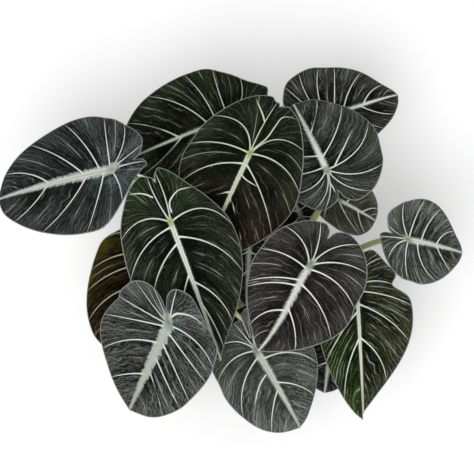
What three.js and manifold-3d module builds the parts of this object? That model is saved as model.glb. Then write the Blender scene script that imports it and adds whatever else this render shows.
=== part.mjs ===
// A potted alocasia with dark velvety leaves: a round nursery pot filled with soil, a short rhizome
// whose crown stands out of the soil, and one arching petiole for each shield-shaped blade.
//
// Millimetres, +Z up. The origin is the centre of the pot's flat base.
//
// Each blade is peltate: its petiole joins the underside a third of the way down from the two rear
// lobes. A midrib runs from that joint to the tip, and lateral veins fan out from it to the margin.
// The blade bulges a little between every two veins.

import * as THREE from 'three';
import { mergeVertices } from 'three/addons/utils/BufferGeometryUtils.js';
import Module from 'manifold-3d';

const wasm = await Module();
wasm.setup();

const pot = {
  height: 105,
  rimRadius: 60, // outside of the rim
  rimHeight: 14,
  rimOverhang: 2.5, // how far the rim stands out of the wall
  baseRadius: 42,
  wall: 1.8,
  floor: 2.4,
  footBevel: 2,
  drainRadius: 3.5,
  drainRing: 27, // radius of the ring of drain holes
  drainCount: 6,
  facets: 40,
};

const soil = {
  gap: 0.3, // clearance to the pot and the rhizome
  edgeLevel: 93, // height of the soil at the pot's wall
  moundLevel: 97, // height of the soil round the crown
};

const rhizome = {
  radius: 17,
  domeCentre: 93, // height of the centre of the crown's dome
  foot: 58, // height of its buried end
  footRadius: 11,
  facets: 24,
};

const blade = {
  thickness: 0.9,
  quilt: 1.1, // how far the blade bulges between two veins
  ruffle: 1.6, // how far the margin waves
  nickWidth: 0.026, // half the width of a notch in the margin, as a share of the margin
  leastArch: 0.05, // how far the columns ahead of the last vein arch at least
  rows: 4, // steps from the midrib to the margin
  columns: 2, // least steps from one vein to the next
  columnShare: 0.1, // greatest share of the margin that one step spans
};

const petiole = {
  baseRadius: 3.1,
  topRadius: 2.1,
  gap: 0.35, // clearance to the crown and to the blade
  sides: 7,
  steps: 9,
};

// One entry for each leaf. at: where the petiole joins the blade. heading: which way the tip points,
// from +X towards +Y. pitch: how steeply the blade leans at the joint. droop: how much further it bends
// down by the tip. length: from the joint to the tip. foot: azimuth and tilt of the petiole's foot on
// the rhizome's dome. via: a point that the petiole bends towards. skew: how far the rear lobes turn to
// the left. sway: how far the midrib bows to the left. notch: depth of the rear notch, as a share of
// the shorter lobe.
//
// Each half has its greatest width, the length of its rear lobe and, as shares, where across the half
// that lobe peaks, how full the lobe and how blunt the tip is. nick: place and depth of a notch in the
// margin. veins: for each main vein, where it meets the margin, as a share of the way from the rear
// notch to the tip; where it leaves the midrib, as a share of its length; and how far it arches towards
// the rear, as a share of its reach.
const leaves = [
  { id: '01', at: [-115.7, 55.2, 222], heading: 187, pitch: 14, droop: 16, length: 96.9,
    foot: [155, 54], skew: -0.23, notch: 0.69,
    left: { width: 44.5, lobe: 27.9, peak: 0.17, full: -0.92, blunt: 0.89,
      veins: [[0.161, 0, 0.03], [0.425, 0, 0.08], [0.561, 0.05, 0.03], [0.739, 0.19, 0.08],
        [0.868, 0.53, 0.07]] },
    right: { width: 47.8, lobe: 26.6, peak: 0.29, full: 0.32, blunt: 0.67,
      veins: [[0.163, 0, 0], [0.368, 0, 0.13], [0.461, 0, 0], [0.613, 0.08, 0.06], [0.752, 0.21, 0.05],
        [0.897, 0.51, 0.1]] } },
  { id: '02', at: [-26, 106, 200], heading: 194.2, pitch: 16, droop: 16, length: 97.9,
    foot: [121, 54], skew: -0.13,
    left: { width: 44, lobe: 36, peak: 0.25, full: 0.4, blunt: 0.3,
      veins: [[0.221, 0, 0.08], [0.37, 0, 0.19], [0.552, 0.04, 0.13], [0.701, 0.2, 0.08],
        [0.853, 0.42, 0.04]] },
    right: { width: 49.4, lobe: 33.5, peak: 0.2, full: -0.44, blunt: 1.46,
      veins: [[0.074, 0, 0.08], [0.384, 0, 0.17], [0.479, 0.02, -0.01], [0.581, 0.12, 0.06],
        [0.737, 0.18, 0.08], [0.878, 0.45, 0.04]] } },
  { id: '03', at: [-12, 60, 243], heading: 243.1, pitch: 16, droop: 18, length: 83.6,
    foot: [108, 24], skew: 0.11, notch: 0.93,
    left: { width: 46.7, lobe: 43.7, peak: 0.13, full: 0.7, blunt: 0.67,
      veins: [[0.388, 0, 0.26], [0.512, 0, 0.16], [0.703, 0.09, 0.06], [0.836, 0.42, -0.01]] },
    right: { width: 45.9, lobe: 45.2, peak: 0.21, full: 1.07, blunt: 0.08,
      veins: [[0.114, 0, -0.03], [0.409, 0, 0.25], [0.52, 0, 0.09], [0.681, 0.1, 0.12],
        [0.76, 0.37, 0.02]] } },
  { id: '04', at: [-69, 3, 255], heading: 292.1, pitch: 20, droop: 20, length: 111.2,
    foot: [180, 24],
    left: { width: 42, lobe: 39.5, peak: 0.15, full: 0.06, blunt: -0.31,
      veins: [[0.119, 0, -0.04], [0.531, 0, 0.25], [0.662, 0.1, 0.13], [0.811, 0.41, 0.12],
        [0.902, 0.55, 0.09]] },
    right: { width: 41.2, lobe: 38, peak: 0.24, full: 0.81, blunt: -0.11,
      veins: [[0.131, 0, -0.04], [0.458, 0, 0.22], [0.567, 0.03, 0.13], [0.685, 0.14, 0.12],
        [0.785, 0.35, 0.04]] } },
  { id: '05', at: [-69.1, -71.8, 250], heading: 241.7, pitch: 20, droop: 16, length: 69.5,
    foot: [228, 54], skew: -0.8, notch: 0.45, via: [-86, -72, 205],
    left: { width: 41.4, lobe: 25.6, peak: 0.57, full: 0.41, blunt: 1.44,
      veins: [[0.153, 0, 0.02], [0.533, 0, 0.12], [0.611, 0.06, 0.01], [0.725, 0.18, 0.01],
        [0.792, 0.34, 0], [0.888, 0.5, 0.01]] },
    right: { width: 45.7, lobe: 19.3, peak: 0.31, full: 0.8, blunt: -0.03,
      veins: [[0.15, 0, 0.03], [0.278, 0, -0.03], [0.447, 0, 0], [0.547, 0.02, 0.01],
        [0.698, 0.21, 0.11], [0.81, 0.56, 0.05]] } },
  { id: '06', at: [-90, 6, 190], heading: 247, pitch: 18, droop: 16, length: 86.6,
    foot: [190, 54], skew: 0.04,
    left: { width: 40, lobe: 30, peak: 0.3, full: 0.5, blunt: 0.4,
      veins: [[0.128, 0, 0.07], [0.338, 0, 0.18], [0.501, 0, 0.14], [0.643, 0.14, 0.1],
        [0.784, 0.38, 0.09]] },
    right: { width: 34.4, lobe: 24.2, peak: 0.19, full: -0.81, blunt: 1.22,
      veins: [[0.209, 0, 0.07], [0.381, 0, 0.18], [0.485, 0, 0.2], [0.624, 0.07, 0.1],
        [0.711, 0.18, 0.08], [0.846, 0.39, 0.1]] } },
  { id: '07', at: [29.3, -36.4, 278], heading: 236.1, pitch: 14, droop: 20, length: 71.4,
    foot: [330, 24], sway: 2.5, notch: 0.73,
    left: { width: 43.1, lobe: 33, peak: 0.31, full: 1.55, blunt: 0.07,
      veins: [[0.26, 0, 0.13], [0.374, 0, 0.11], [0.51, 0.04, 0.13], [0.675, 0.2, 0.11],
        [0.818, 0.46, 0.07]] },
    right: { width: 37.5, lobe: 30.6, peak: 0.21, full: 1.24, blunt: 0.2,
      veins: [[0.237, 0, 0.06], [0.383, 0.02, 0.15], [0.51, 0.05, 0.09], [0.658, 0.17, 0.06],
        [0.68, 0.23, 0.07], [0.835, 0.5, 0.15]] } },
  { id: '08', at: [40, 111, 180], heading: 27.9, pitch: 14, droop: 16, length: 84.2,
    foot: [88, 54],
    left: { width: 45.2, lobe: 18.9, peak: 0.33, full: 0.92, blunt: 0.31,
      veins: [[0.172, 0, 0.05], [0.276, 0, 0.12], [0.403, 0.07, 0.03], [0.506, 0.08, 0.08],
        [0.609, 0.11, 0.09], [0.677, 0.21, 0.01], [0.788, 0.31, 0.06], [0.9, 0.55, 0.09]] },
    right: { width: 31.7, lobe: 24, peak: 0.34, full: 0.5, blunt: 0.65,
      veins: [[0.172, 0, 0.08], [0.354, 0, 0.18], [0.504, 0.03, 0.13], [0.729, 0.22, 0.01],
        [0.855, 0.51, 0.1]] } },
  { id: '09', at: [46.2, 60.6, 207], heading: 110.5, pitch: 10, droop: 16, length: 70.9,
    foot: [45, 24], skew: -0.08, notch: 0.63, via: [50, 24, 192],
    left: { width: 44.7, lobe: 30.5, peak: 0.37, full: 0.6, blunt: 0.3,
      veins: [[0.21, 0, 0.1], [0.271, 0, 0.13], [0.416, 0, 0.17], [0.553, 0.04, 0.11],
        [0.682, 0.19, 0.08], [0.859, 0.57, -0.06]] },
    right: { width: 48.4, lobe: 32.2, peak: 0.25, full: 1.11, blunt: 1.16,
      veins: [[0.275, 0, 0.15], [0.412, 0, 0.17], [0.638, 0, 0.16], [0.808, 0.15, 0.07],
        [0.924, 0.49, 0.03]] } },
  { id: '10', at: [57, 49, 172], heading: 337, pitch: 16, droop: 14, length: 34.9,
    foot: [26, 54],
    left: { width: 24.1, lobe: 14, peak: 0.4, full: 0.8, blunt: 1.64,
      veins: [[0.199, 0, 0.1], [0.455, 0, 0.16], [0.717, 0.19, 0.09], [0.936, 0.61, 0.09]] },
    right: { width: 21.8, lobe: 17, peak: 0.55, full: 0.8, blunt: 1.71,
      veins: [[0.215, 0, 0.1], [0.419, 0, 0.17], [0.831, 0, 0.06], [0.896, 0.51, 0.09]] } },
  { id: '11', at: [108, 10, 192], heading: 354.2, pitch: 16, droop: 16, length: 47.6,
    foot: [355, 54], skew: 0.22, notch: 0.73, via: [82, 22, 186],
    left: { width: 36, lobe: 18.3, peak: 0.32, full: 0.42, blunt: 0.39,
      veins: [[0.131, 0, 0.24], [0.419, 0, 0.12], [0.568, 0, 0.05], [0.694, 0.21, 0.08],
        [0.85, 0.48, 0.14]] },
    right: { width: 32.6, lobe: 22.8, peak: 0.19, full: 1.4, blunt: 0.61,
      veins: [[0.22, 0, 0.03], [0.34, 0, 0.13], [0.483, 0, 0.09], [0.691, 0.15, 0.15],
        [0.838, 0.49, 0.07]] } },
  { id: '12', at: [67, -29, 203], heading: 274.3, pitch: 20, droop: 20, length: 105.4,
    foot: [324, 54], skew: 0.05,
    left: { width: 40.7, lobe: 25.6, peak: 0.3, full: -0.2, blunt: -0.57, nick: [0.463, 8.5],
      veins: [[0.139, 0, 0.07], [0.318, 0, 0.17], [0.459, 0, 0.11], [0.531, 0.04, 0.06],
        [0.641, 0.13, 0.08], [0.786, 0.37, 0.13]] },
    right: { width: 30.8, lobe: 26, peak: 0.3, full: 0.5, blunt: 0.37,
      veins: [[0.146, 0, 0.07], [0.338, 0, 0.18], [0.496, 0, 0.14], [0.693, 0.18, 0.05],
        [0.847, 0.37, 0.08]] } },
  { id: '13', at: [-7, -75, 188], heading: 302.8, pitch: 20, droop: 18, length: 69.6,
    foot: [262, 54], notch: 0.95,
    left: { width: 38.9, lobe: 31, peak: 0.28, full: 0.6, blunt: 0.48,
      veins: [[0.113, 0, 0.13], [0.351, 0, 0.26], [0.501, 0.03, 0.14], [0.664, 0.11, 0.16],
        [0.816, 0.4, 0.1]] },
    right: { width: 38.1, lobe: 27.1, peak: 0.36, full: 1.39, blunt: 1.19,
      veins: [[0.101, 0, 0], [0.35, 0, 0.22], [0.487, 0, 0.17], [0.7, 0.06, 0.14], [0.878, 0.47, 0.07]] } },
  { id: '14', at: [50, -64, 160], heading: 262, pitch: 22, droop: 14, length: 38,
    foot: [293, 54],
    left: { width: 20, lobe: 15, peak: 0.34, full: 0.5, blunt: 1,
      veins: [[0.2, 0, 0.11], [0.5, 0, 0.14], [0.76, 0.34, 0.09]] },
    right: { width: 20, lobe: 15, peak: 0.34, full: 0.5, blunt: 1,
      veins: [[0.2, 0, 0.11], [0.5, 0, 0.14], [0.76, 0.34, 0.09]] } },
  { id: '15', at: [29, 49, 134], heading: 108, pitch: 12, droop: 14, length: 40,
    foot: [62, 54],
    left: { width: 20, lobe: 15, peak: 0.4, full: 0.7, blunt: 0.8,
      veins: [[0.18, 0, 0.1], [0.42, 0, 0.17], [0.62, 0.12, 0.1], [0.8, 0.41, 0.09]] },
    right: { width: 18, lobe: 9, peak: 0.4, full: 0.4, blunt: 0.8,
      veins: [[0.18, 0, 0.1], [0.42, 0, 0.17], [0.62, 0.12, 0.1], [0.8, 0.41, 0.09]] } },
  { id: '16', at: [-12, 8, 188], heading: 267, pitch: 14, droop: 14, length: 48,
    foot: [0, 0],
    left: { width: 16, lobe: 12, peak: 0.34, full: 0.5, blunt: 0.9,
      veins: [[0.18, 0, 0.1], [0.42, 0, 0.17], [0.62, 0.12, 0.1], [0.8, 0.41, 0.09]] },
    right: { width: 14, lobe: 12, peak: 0.34, full: 0.5, blunt: 0.7,
      veins: [[0.18, 0, 0.1], [0.42, 0, 0.17], [0.62, 0.12, 0.1], [0.8, 0.41, 0.09]] } },
];

const spear = { foot: [236, 30], crest: [-42, -34, 224], tip: [-17, -58, 208], radius: 3.2 };

const colours = { pot: 0x2b2b2c, soil: 0x3a2c22, rhizome: 0x6d5a45, petiole: 0x9aa36b, blade: 0x232a25 };

const radians = THREE.MathUtils.degToRad;
const mix = THREE.MathUtils.lerp;
const up = new THREE.Vector3(0, 0, 1);

// A geometry from a list of triangles, each three points; triangles without area are left out.
function fromTriangles(triangles) {
  const positions = [];
  for (const [a, b, c] of triangles) {
    const shortest = Math.min(a.distanceToSquared(b), b.distanceToSquared(c), c.distanceToSquared(a));
    if (shortest > 1e-9) positions.push(...a.toArray(), ...b.toArray(), ...c.toArray());
  }
  const geometry = new THREE.BufferGeometry();
  geometry.setAttribute('position', new THREE.Float32BufferAttribute(positions, 3));
  return geometry;
}

function toSolid(geometry) {
  const bare = new THREE.BufferGeometry();
  const source = geometry.index ? geometry.toNonIndexed() : geometry;
  bare.setAttribute('position', source.getAttribute('position'));
  const merged = mergeVertices(bare, 1e-3);
  return new wasm.Manifold(new wasm.Mesh({
    numProp: 3,
    vertProperties: merged.attributes.position.array,
    triVerts: new Uint32Array(merged.index.array),
  }));
}

function toGeometry(solid) {
  const mesh = solid.getMesh();
  const geometry = new THREE.BufferGeometry();
  geometry.setAttribute('position', new THREE.BufferAttribute(mesh.vertProperties, 3));
  geometry.setIndex(new THREE.BufferAttribute(mesh.triVerts, 1));
  geometry.computeVertexNormals();
  return geometry;
}

// A profile of [radius, height] points turned round the Z axis; it starts and ends on the axis.
function turned(profile, facets) {
  const points = profile.map(([r, z]) => new THREE.Vector2(r, z));
  return new THREE.LatheGeometry(points, facets).rotateX(Math.PI / 2);
}

// Radius of the pot's outer wall at a height.
function potRadius(z) {
  return mix(pot.baseRadius, pot.rimRadius - pot.rimOverhang, z / pot.height);
}

function makePot() {
  const rimFoot = pot.height - pot.rimHeight;
  const body = turned([
    [0, 0],
    [pot.baseRadius - pot.footBevel, 0],
    [potRadius(pot.footBevel), pot.footBevel],
    [potRadius(rimFoot), rimFoot],
    [pot.rimRadius - 0.6, rimFoot],
    [pot.rimRadius, pot.height - 1],
    [pot.rimRadius - 1, pot.height],
    [potRadius(pot.height) - pot.wall, pot.height],
    [potRadius(pot.floor) - pot.wall, pot.floor],
    [0, pot.floor],
  ], pot.facets);
  const drain = new THREE.CylinderGeometry(pot.drainRadius, pot.drainRadius, 4 * pot.floor, 12);
  drain.rotateX(Math.PI / 2);
  let solid = toSolid(body);
  for (let i = 0; i < pot.drainCount; i++) {
    const turn = (2 * Math.PI * i) / pot.drainCount;
    const bore = drain.clone().translate(pot.drainRing * Math.cos(turn), pot.drainRing * Math.sin(turn), 0);
    solid = solid.subtract(toSolid(bore));
  }
  return toGeometry(solid);
}

function makeSoil() {
  const bottom = pot.floor + soil.gap;
  const inside = (z) => potRadius(z) - pot.wall - soil.gap;
  const hole = rhizome.radius + soil.gap;
  return turned([
    [0, bottom],
    [inside(bottom), bottom],
    [inside(soil.edgeLevel), soil.edgeLevel],
    [mix(hole, inside(soil.edgeLevel), 0.5), mix(soil.moundLevel, soil.edgeLevel, 0.35)],
    [hole, soil.moundLevel],
    [hole, rhizome.foot - soil.gap],
    [0, rhizome.foot - soil.gap],
  ], pot.facets);
}

function makeRhizome() {
  const profile = [
    [0, rhizome.foot],
    [rhizome.footRadius, rhizome.foot],
    [rhizome.radius, rhizome.domeCentre - 12],
  ];
  const rings = 5;
  for (let i = 0; i < rings; i++) {
    const tilt = (Math.PI / 2) * (i / rings);
    profile.push([rhizome.radius * Math.cos(tilt), rhizome.domeCentre + rhizome.radius * Math.sin(tilt)]);
  }
  profile.push([0, rhizome.domeCentre + rhizome.radius]);
  return turned(profile, rhizome.facets);
}

// The margin of one half of a blade, from the rear notch to the tip, as [along, across] points.
// along is measured from the joint towards the tip, across from the midrib outwards.
function marginPoints(leaf, half) {
  const { width, lobe, peak, full, blunt } = half;
  const length = leaf.length;
  const notch = (leaf.notch ?? 0.8) * Math.min(leaf.left.lobe, leaf.right.lobe);
  const outwards = (share) => mix(peak, 1, share) * width;
  return [
    [-notch, 0],
    [-mix(notch, lobe, 0.55), 0.15 * peak * width],
    [-0.96 * lobe, 0.5 * peak * width],
    [-lobe, peak * width],
    [-0.86 * lobe, outwards(0.18 + 0.14 * full)],
    [-0.58 * lobe, outwards(0.4 + 0.2 * full)],
    [-0.2 * lobe, outwards(0.7 + 0.14 * full)],
    [0.1 * length, 0.965 * width],
    [0.27 * length, width],
    [0.43 * length, (0.92 + 0.03 * blunt) * width],
    [0.58 * length, (0.76 + 0.09 * blunt) * width],
    [0.72 * length, (0.55 + 0.17 * blunt) * width],
    [0.84 * length, (0.33 + 0.22 * blunt) * width],
    [0.94 * length, (0.125 + 0.2 * blunt) * width],
    [length, 0],
  ];
}

function marginCurve(leaf, half) {
  const points = marginPoints(leaf, half).map(([along, across]) => new THREE.Vector3(along, across, 0));
  return new THREE.CatmullRomCurve3(points, false, 'catmullrom', 0.5);
}

// The surface point of a blade: along and across are lengths on the flat blade, lift is measured
// along the blade's normal.
function bladePoint(leaf, along, across, lift) {
  const heading = radians(leaf.heading);
  const forward = new THREE.Vector3(Math.cos(heading), Math.sin(heading), 0);
  const pitch = radians(leaf.pitch);
  const bend = radians(leaf.droop) / leaf.length;
  const slope = pitch + bend * along;
  const run = (Math.sin(slope) - Math.sin(pitch)) / bend; // arc along the midrib, in its upright plane
  const fall = (Math.cos(pitch) - Math.cos(slope)) / bend;
  const normal = forward.clone().multiplyScalar(Math.sin(slope)).addScaledVector(up, Math.cos(slope));
  const leftwards = up.clone().cross(forward);
  const share = Math.min(Math.max(along / leaf.length, 0), 1);
  const bow = 6.75 * (leaf.sway ?? 0) * share * share * (1 - share); // greatest two thirds of the way along
  const skewed = across + (leaf.skew ?? 0) * Math.max(0, -along) + bow;
  return new THREE.Vector3(...leaf.at)
    .addScaledVector(forward, run)
    .addScaledVector(up, -fall)
    .addScaledVector(leftwards, skewed)
    .addScaledVector(normal, lift);
}

// How far the blade's middle surface stands off its plane: each half rises a little from the midrib
// and droops towards the margin, bulges between its veins and waves along the margin. vein counts the
// veins from the rear seam, out runs from the midrib to the margin.
function relief(leaf, half, across, vein, out) {
  const share = across / half.width;
  const rise = 0.09 * across - 0.15 * half.width * share * share;
  const bulge = blade.quilt * Math.sin(Math.PI * vein) ** 2 * Math.sin(Math.PI * out) ** 0.7;
  const wave = blade.ruffle * Math.sin(2.3 * vein + 1.7 * leaf.length) * out ** 3 * Math.min(1, 3 * share);
  return rise + bulge + wave;
}

// The columns over one half of a blade. They follow the veins from the midrib to the margin; the first
// is the seam to the rear notch and the last is the tip. start is where a column leaves the midrib, and
// lean is its direction from there to the margin: 0 points straight back. aims are the directions in
// which the veins set out. The columns between two veins turn evenly from one aim to the next, and none
// arches so far that it crosses the seam or the margin.
function halfColumns(leaf, side, lift) {
  const half = side > 0 ? leaf.left : leaf.right;
  const margin = marginCurve(leaf, half);
  const [nickPlace, nickDepth] = half.nick ?? [0, 0];
  const reach = (end, start) => {
    const target = margin.getPoint(end);
    target.y -= nickDepth * Math.exp(-(((end - nickPlace) / blade.nickWidth) ** 2));
    const origin = start * leaf.length;
    return { target, origin, lean: Math.atan2(target.y, origin - target.x) };
  };
  const veins = [[0, 0, 0], ...half.veins, [1, 1, 0]];
  const last = veins.length - 2;
  const aims = veins.map(([end, start, arch]) => Math.max(0, reach(end, start).lean - Math.atan(4 * arch)));
  const lastArch = Math.max(blade.leastArch, veins[last][2]);
  const columns = [];
  for (let k = 0; k <= last; k++) {
    const steps = Math.max(blade.columns, Math.round((veins[k + 1][0] - veins[k][0]) / blade.columnShare));
    for (let i = 0; i < (k === last ? steps + 1 : steps); i++) {
      const share = i / steps;
      const end = mix(veins[k][0], veins[k + 1][0], share);
      const start = mix(veins[k][1], veins[k + 1][1], share);
      const { target, origin, lean } = reach(end, start);
      const wanted = k < last ? Math.tan(lean - mix(aims[k], aims[k + 1], share)) / 4 : lastArch;
      const arch = Math.min(wanted, (0.24 * target.y) / Math.max(1e-6, Math.abs(origin - target.x)));
      const flat = [];
      for (let j = 0; j <= blade.rows; j++) {
        const out = j / blade.rows;
        const bow = 4 * out * (1 - out) * arch;
        flat.push([mix(origin, target.x, out) - bow * target.y, target.y * out + bow * (target.x - origin)]);
      }
      const points = flat.map(([along, across], j) => {
        const height = relief(leaf, half, across, k + share, j / blade.rows);
        return bladePoint(leaf, along, side * across, height + lift);
      });
      columns.push({ start, flat, points });
    }
  }
  return columns;
}

function flatGap(a, b) {
  return Math.hypot(a[0] - b[0], a[1] - b[1]);
}

// One face of a blade: for each half, a strip that joins the stations on the midrib to the first row
// of the columns, and the grid from there to the margin, each cell split along its shorter diagonal.
function bladeFace(leaf, lift, add) {
  const halves = [halfColumns(leaf, 1, lift), halfColumns(leaf, -1, lift)];
  const starts = halves.flat().map((column) => column.start);
  const stations = [...new Set(starts)].sort((a, b) => a - b);
  const midrib = stations.map((share) => bladePoint(leaf, share * leaf.length, 0, lift));
  halves.forEach((columns, index) => {
    let m = 0;
    for (let i = 0; i + 1 < columns.length; i++) {
      const here = columns[i].points;
      const next = columns[i + 1].points;
      for (; m + 1 < stations.length && stations[m + 1] <= columns[i + 1].start; m++) {
        add(midrib[m], midrib[m + 1], here[1], index);
      }
      add(midrib[m], next[1], here[1], index);
      for (let j = 1; j < blade.rows; j++) {
        const ahead = flatGap(columns[i].flat[j], columns[i + 1].flat[j + 1]);
        if (ahead <= flatGap(columns[i + 1].flat[j], columns[i].flat[j + 1])) {
          add(here[j], next[j], next[j + 1], index);
          add(here[j], next[j + 1], here[j + 1], index);
        } else {
          add(here[j], next[j], here[j + 1], index);
          add(next[j], next[j + 1], here[j + 1], index);
        }
      }
    }
  });
  return halves.map((columns) => columns.map((column) => column.points[blade.rows]));
}

function makeBlade(leaf) {
  const triangles = [];
  const outwards = (a, b, c) => triangles.push([a, b, c]);
  const inwards = (a, b, c) => triangles.push([a, c, b]);
  const upwards = (a, b, c, index) => (index ? inwards : outwards)(a, b, c);
  const downwards = (a, b, c, index) => (index ? outwards : inwards)(a, b, c);
  const top = bladeFace(leaf, blade.thickness / 2, upwards);
  const bottom = bladeFace(leaf, -blade.thickness / 2, downwards);
  for (const index of [0, 1]) {
    const edge = index ? inwards : outwards;
    for (let i = 0; i + 1 < top[index].length; i++) {
      edge(top[index][i], top[index][i + 1], bottom[index][i + 1]);
      edge(top[index][i], bottom[index][i + 1], bottom[index][i]);
    }
  }
  return fromTriangles(triangles);
}

// The foot of a stem on the crown's dome, and the direction in which it leaves.
function crownFoot([azimuth, tilt]) {
  const direction = new THREE.Vector3(
    Math.sin(radians(tilt)) * Math.cos(radians(azimuth)),
    Math.sin(radians(tilt)) * Math.sin(radians(azimuth)),
    Math.cos(radians(tilt)),
  );
  const foot = direction.clone().multiplyScalar(rhizome.radius + petiole.gap);
  foot.z += rhizome.domeCentre;
  return { foot, direction };
}

// A tapering stem along a curve, closed at both ends. The last ring is sheared onto a plane with the
// given normal, so that it lies flat against what it carries.
function makeStem(curve, radiusAt, endNormal) {
  const { sides, steps } = petiole;
  const rings = [];
  let across = new THREE.Vector3(0, 0, 1).cross(curve.getTangent(0));
  if (across.length() < 0.1) across = new THREE.Vector3(1, 0, 0);
  for (let i = 0; i <= steps; i++) {
    const share = i / steps;
    const centre = curve.getPoint(share);
    const tangent = curve.getTangent(share);
    across.addScaledVector(tangent, -across.dot(tangent)).normalize();
    const other = tangent.clone().cross(across);
    const ring = [];
    for (let j = 0; j < sides; j++) {
      const turn = (2 * Math.PI * j) / sides;
      const spoke = across.clone().multiplyScalar(Math.cos(turn)).addScaledVector(other, Math.sin(turn));
      spoke.multiplyScalar(radiusAt(share));
      if (i === steps && endNormal) {
        spoke.addScaledVector(tangent, -spoke.dot(endNormal) / tangent.dot(endNormal));
      }
      ring.push(centre.clone().add(spoke));
    }
    rings.push(ring);
  }
  const triangles = [];
  for (let i = 0; i < steps; i++) {
    for (let j = 0; j < sides; j++) {
      const next = (j + 1) % sides;
      triangles.push([rings[i][j], rings[i][next], rings[i + 1][next]]);
      triangles.push([rings[i][j], rings[i + 1][next], rings[i + 1][j]]);
    }
  }
  for (let j = 1; j + 1 < sides; j++) {
    triangles.push([rings[0][0], rings[0][j + 1], rings[0][j]]);
    triangles.push([rings[steps][0], rings[steps][j], rings[steps][j + 1]]);
  }
  return fromTriangles(triangles);
}

function petioleCurve(leaf) {
  const { foot, direction } = crownFoot(leaf.foot);
  const joint = bladePoint(leaf, 0, 0, -blade.thickness / 2 - petiole.gap);
  const normal = bladePoint(leaf, 0, 0, 1).sub(bladePoint(leaf, 0, 0, 0));
  const ahead = bladePoint(leaf, 1, 0, 0).sub(bladePoint(leaf, 0, 0, 0));
  const arrival = normal.clone().multiplyScalar(0.78).addScaledVector(ahead, 0.62).normalize();
  const reach = foot.distanceTo(joint);
  const curve = new THREE.CubicBezierCurve3(
    foot,
    foot.clone().addScaledVector(direction, 0.3 * reach).addScaledVector(up, 0.12 * reach),
    leaf.via ? new THREE.Vector3(...leaf.via) : joint.clone().addScaledVector(arrival, -0.3 * reach),
    joint,
  );
  return { curve, normal };
}

function makePetiole(leaf) {
  const { curve, normal } = petioleCurve(leaf);
  const radiusAt = (share) => mix(petiole.baseRadius, petiole.topRadius, Math.min(1, 1.2 * share));
  return makeStem(curve, radiusAt, normal);
}

// A young leaf that is still rolled up, swelling above its foot and closing to a point.
function makeSpear() {
  const { foot, direction } = crownFoot(spear.foot);
  const tip = new THREE.Vector3(...spear.tip);
  const curve = new THREE.CubicBezierCurve3(
    foot,
    foot.clone().addScaledVector(direction, 60),
    new THREE.Vector3(...spear.crest),
    tip,
  );
  const swelling = (share) => (share < 0.6 ? mix(0.85, 1, share / 0.6) : mix(1, 0.45, (share - 0.6) / 0.4));
  return makeStem(curve, (share) => spear.radius * swelling(share), null);
}

const plant = new THREE.Group();

function add(name, geometry, colour, roughness) {
  const material = new THREE.MeshStandardMaterial({ color: colour, roughness, metalness: 0 });
  const mesh = new THREE.Mesh(geometry, material);
  mesh.name = name;
  plant.add(mesh);
}

add('pot', makePot(), colours.pot, 0.55);
add('soil', makeSoil(), colours.soil, 0.95);
add('rhizome', makeRhizome(), colours.rhizome, 0.8);
add('spear', makeSpear(), colours.petiole, 0.5);
for (const leaf of leaves) {
  add(`petiole_${leaf.id}`, makePetiole(leaf), colours.petiole, 0.5);
  add(`blade_${leaf.id}`, makeBlade(leaf), colours.blade, 0.75);
}

export default plant;
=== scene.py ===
# A potted alocasia with dark velvety leaves: fine blades with their veins, grown petioles, the crown,
# the potting mix and the nursery pot. Sizes are in millimetres here and become metres in the meshes.
import math
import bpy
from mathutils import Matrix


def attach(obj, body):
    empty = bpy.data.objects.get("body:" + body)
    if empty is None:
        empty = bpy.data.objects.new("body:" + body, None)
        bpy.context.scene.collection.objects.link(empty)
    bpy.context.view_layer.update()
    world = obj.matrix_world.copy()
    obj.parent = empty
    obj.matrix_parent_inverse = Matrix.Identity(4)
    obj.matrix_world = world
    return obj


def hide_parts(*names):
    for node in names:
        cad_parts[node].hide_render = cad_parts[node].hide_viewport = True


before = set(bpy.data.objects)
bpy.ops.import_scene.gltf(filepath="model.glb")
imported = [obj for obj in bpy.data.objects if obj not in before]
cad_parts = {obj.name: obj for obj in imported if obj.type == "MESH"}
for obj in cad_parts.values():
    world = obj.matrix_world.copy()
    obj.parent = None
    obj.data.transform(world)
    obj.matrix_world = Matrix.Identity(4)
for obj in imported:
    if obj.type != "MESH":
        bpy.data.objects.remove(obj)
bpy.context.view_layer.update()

from types import SimpleNamespace

import bmesh
import bpy
import numpy as np
from mathutils import Matrix, Vector, noise

mm = 0.001
scene = bpy.context.scene
studioLight = 1.5  # how much more light falls on the plant than a white surface needs


def smooth(low, high, value):
    share = np.clip((value - low) / (high - low), 0, 1)
    return share * share * (3 - 2 * share)


def mix(a, b, share):
    return a + (b - a) * share


def screenTone(tone):  # from a tone as it looks on a screen, 0 to 255, to the share of light it sends back
    parts = [part / 255 for part in tone]
    parts = [part / 12.92 if part <= 0.04045 else ((part + 0.055) / 1.055) ** 2.4 for part in parts]
    return tuple(part / studioLight for part in parts) + (1,)


class Value:  # an output of a node, so that sums are written as they are with numbers
    def __init__(self, socket):
        self.socket = socket

    def __add__(self, other):
        return maths("ADD", self, other)

    def __sub__(self, other):
        return maths("SUBTRACT", self, other)

    def __rsub__(self, other):
        return maths("SUBTRACT", other, self)

    def __mul__(self, other):
        return maths("MULTIPLY", self, other)

    def __truediv__(self, other):
        return maths("DIVIDE", self, other)

    def output(self, name):  # another output of the same node
        return Value(self.socket.node.outputs[name])


def connect(node, inputs):  # links each value, and sets each number or colour on the socket itself
    for key, value in inputs.items():
        if isinstance(value, Value):
            node.id_data.links.new(value.socket, node.inputs[key])
        else:
            node.inputs[key].default_value = value


def addNode(kind, inputs, output=0, tree=None, **settings):  # in tree, or where its first linked value is
    tree = tree or next(value.socket.id_data for value in inputs.values() if isinstance(value, Value))
    made = tree.nodes.new(kind)
    for key, value in settings.items():
        setattr(made, key, value)
    connect(made, inputs)
    return Value(made.outputs[output])


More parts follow.
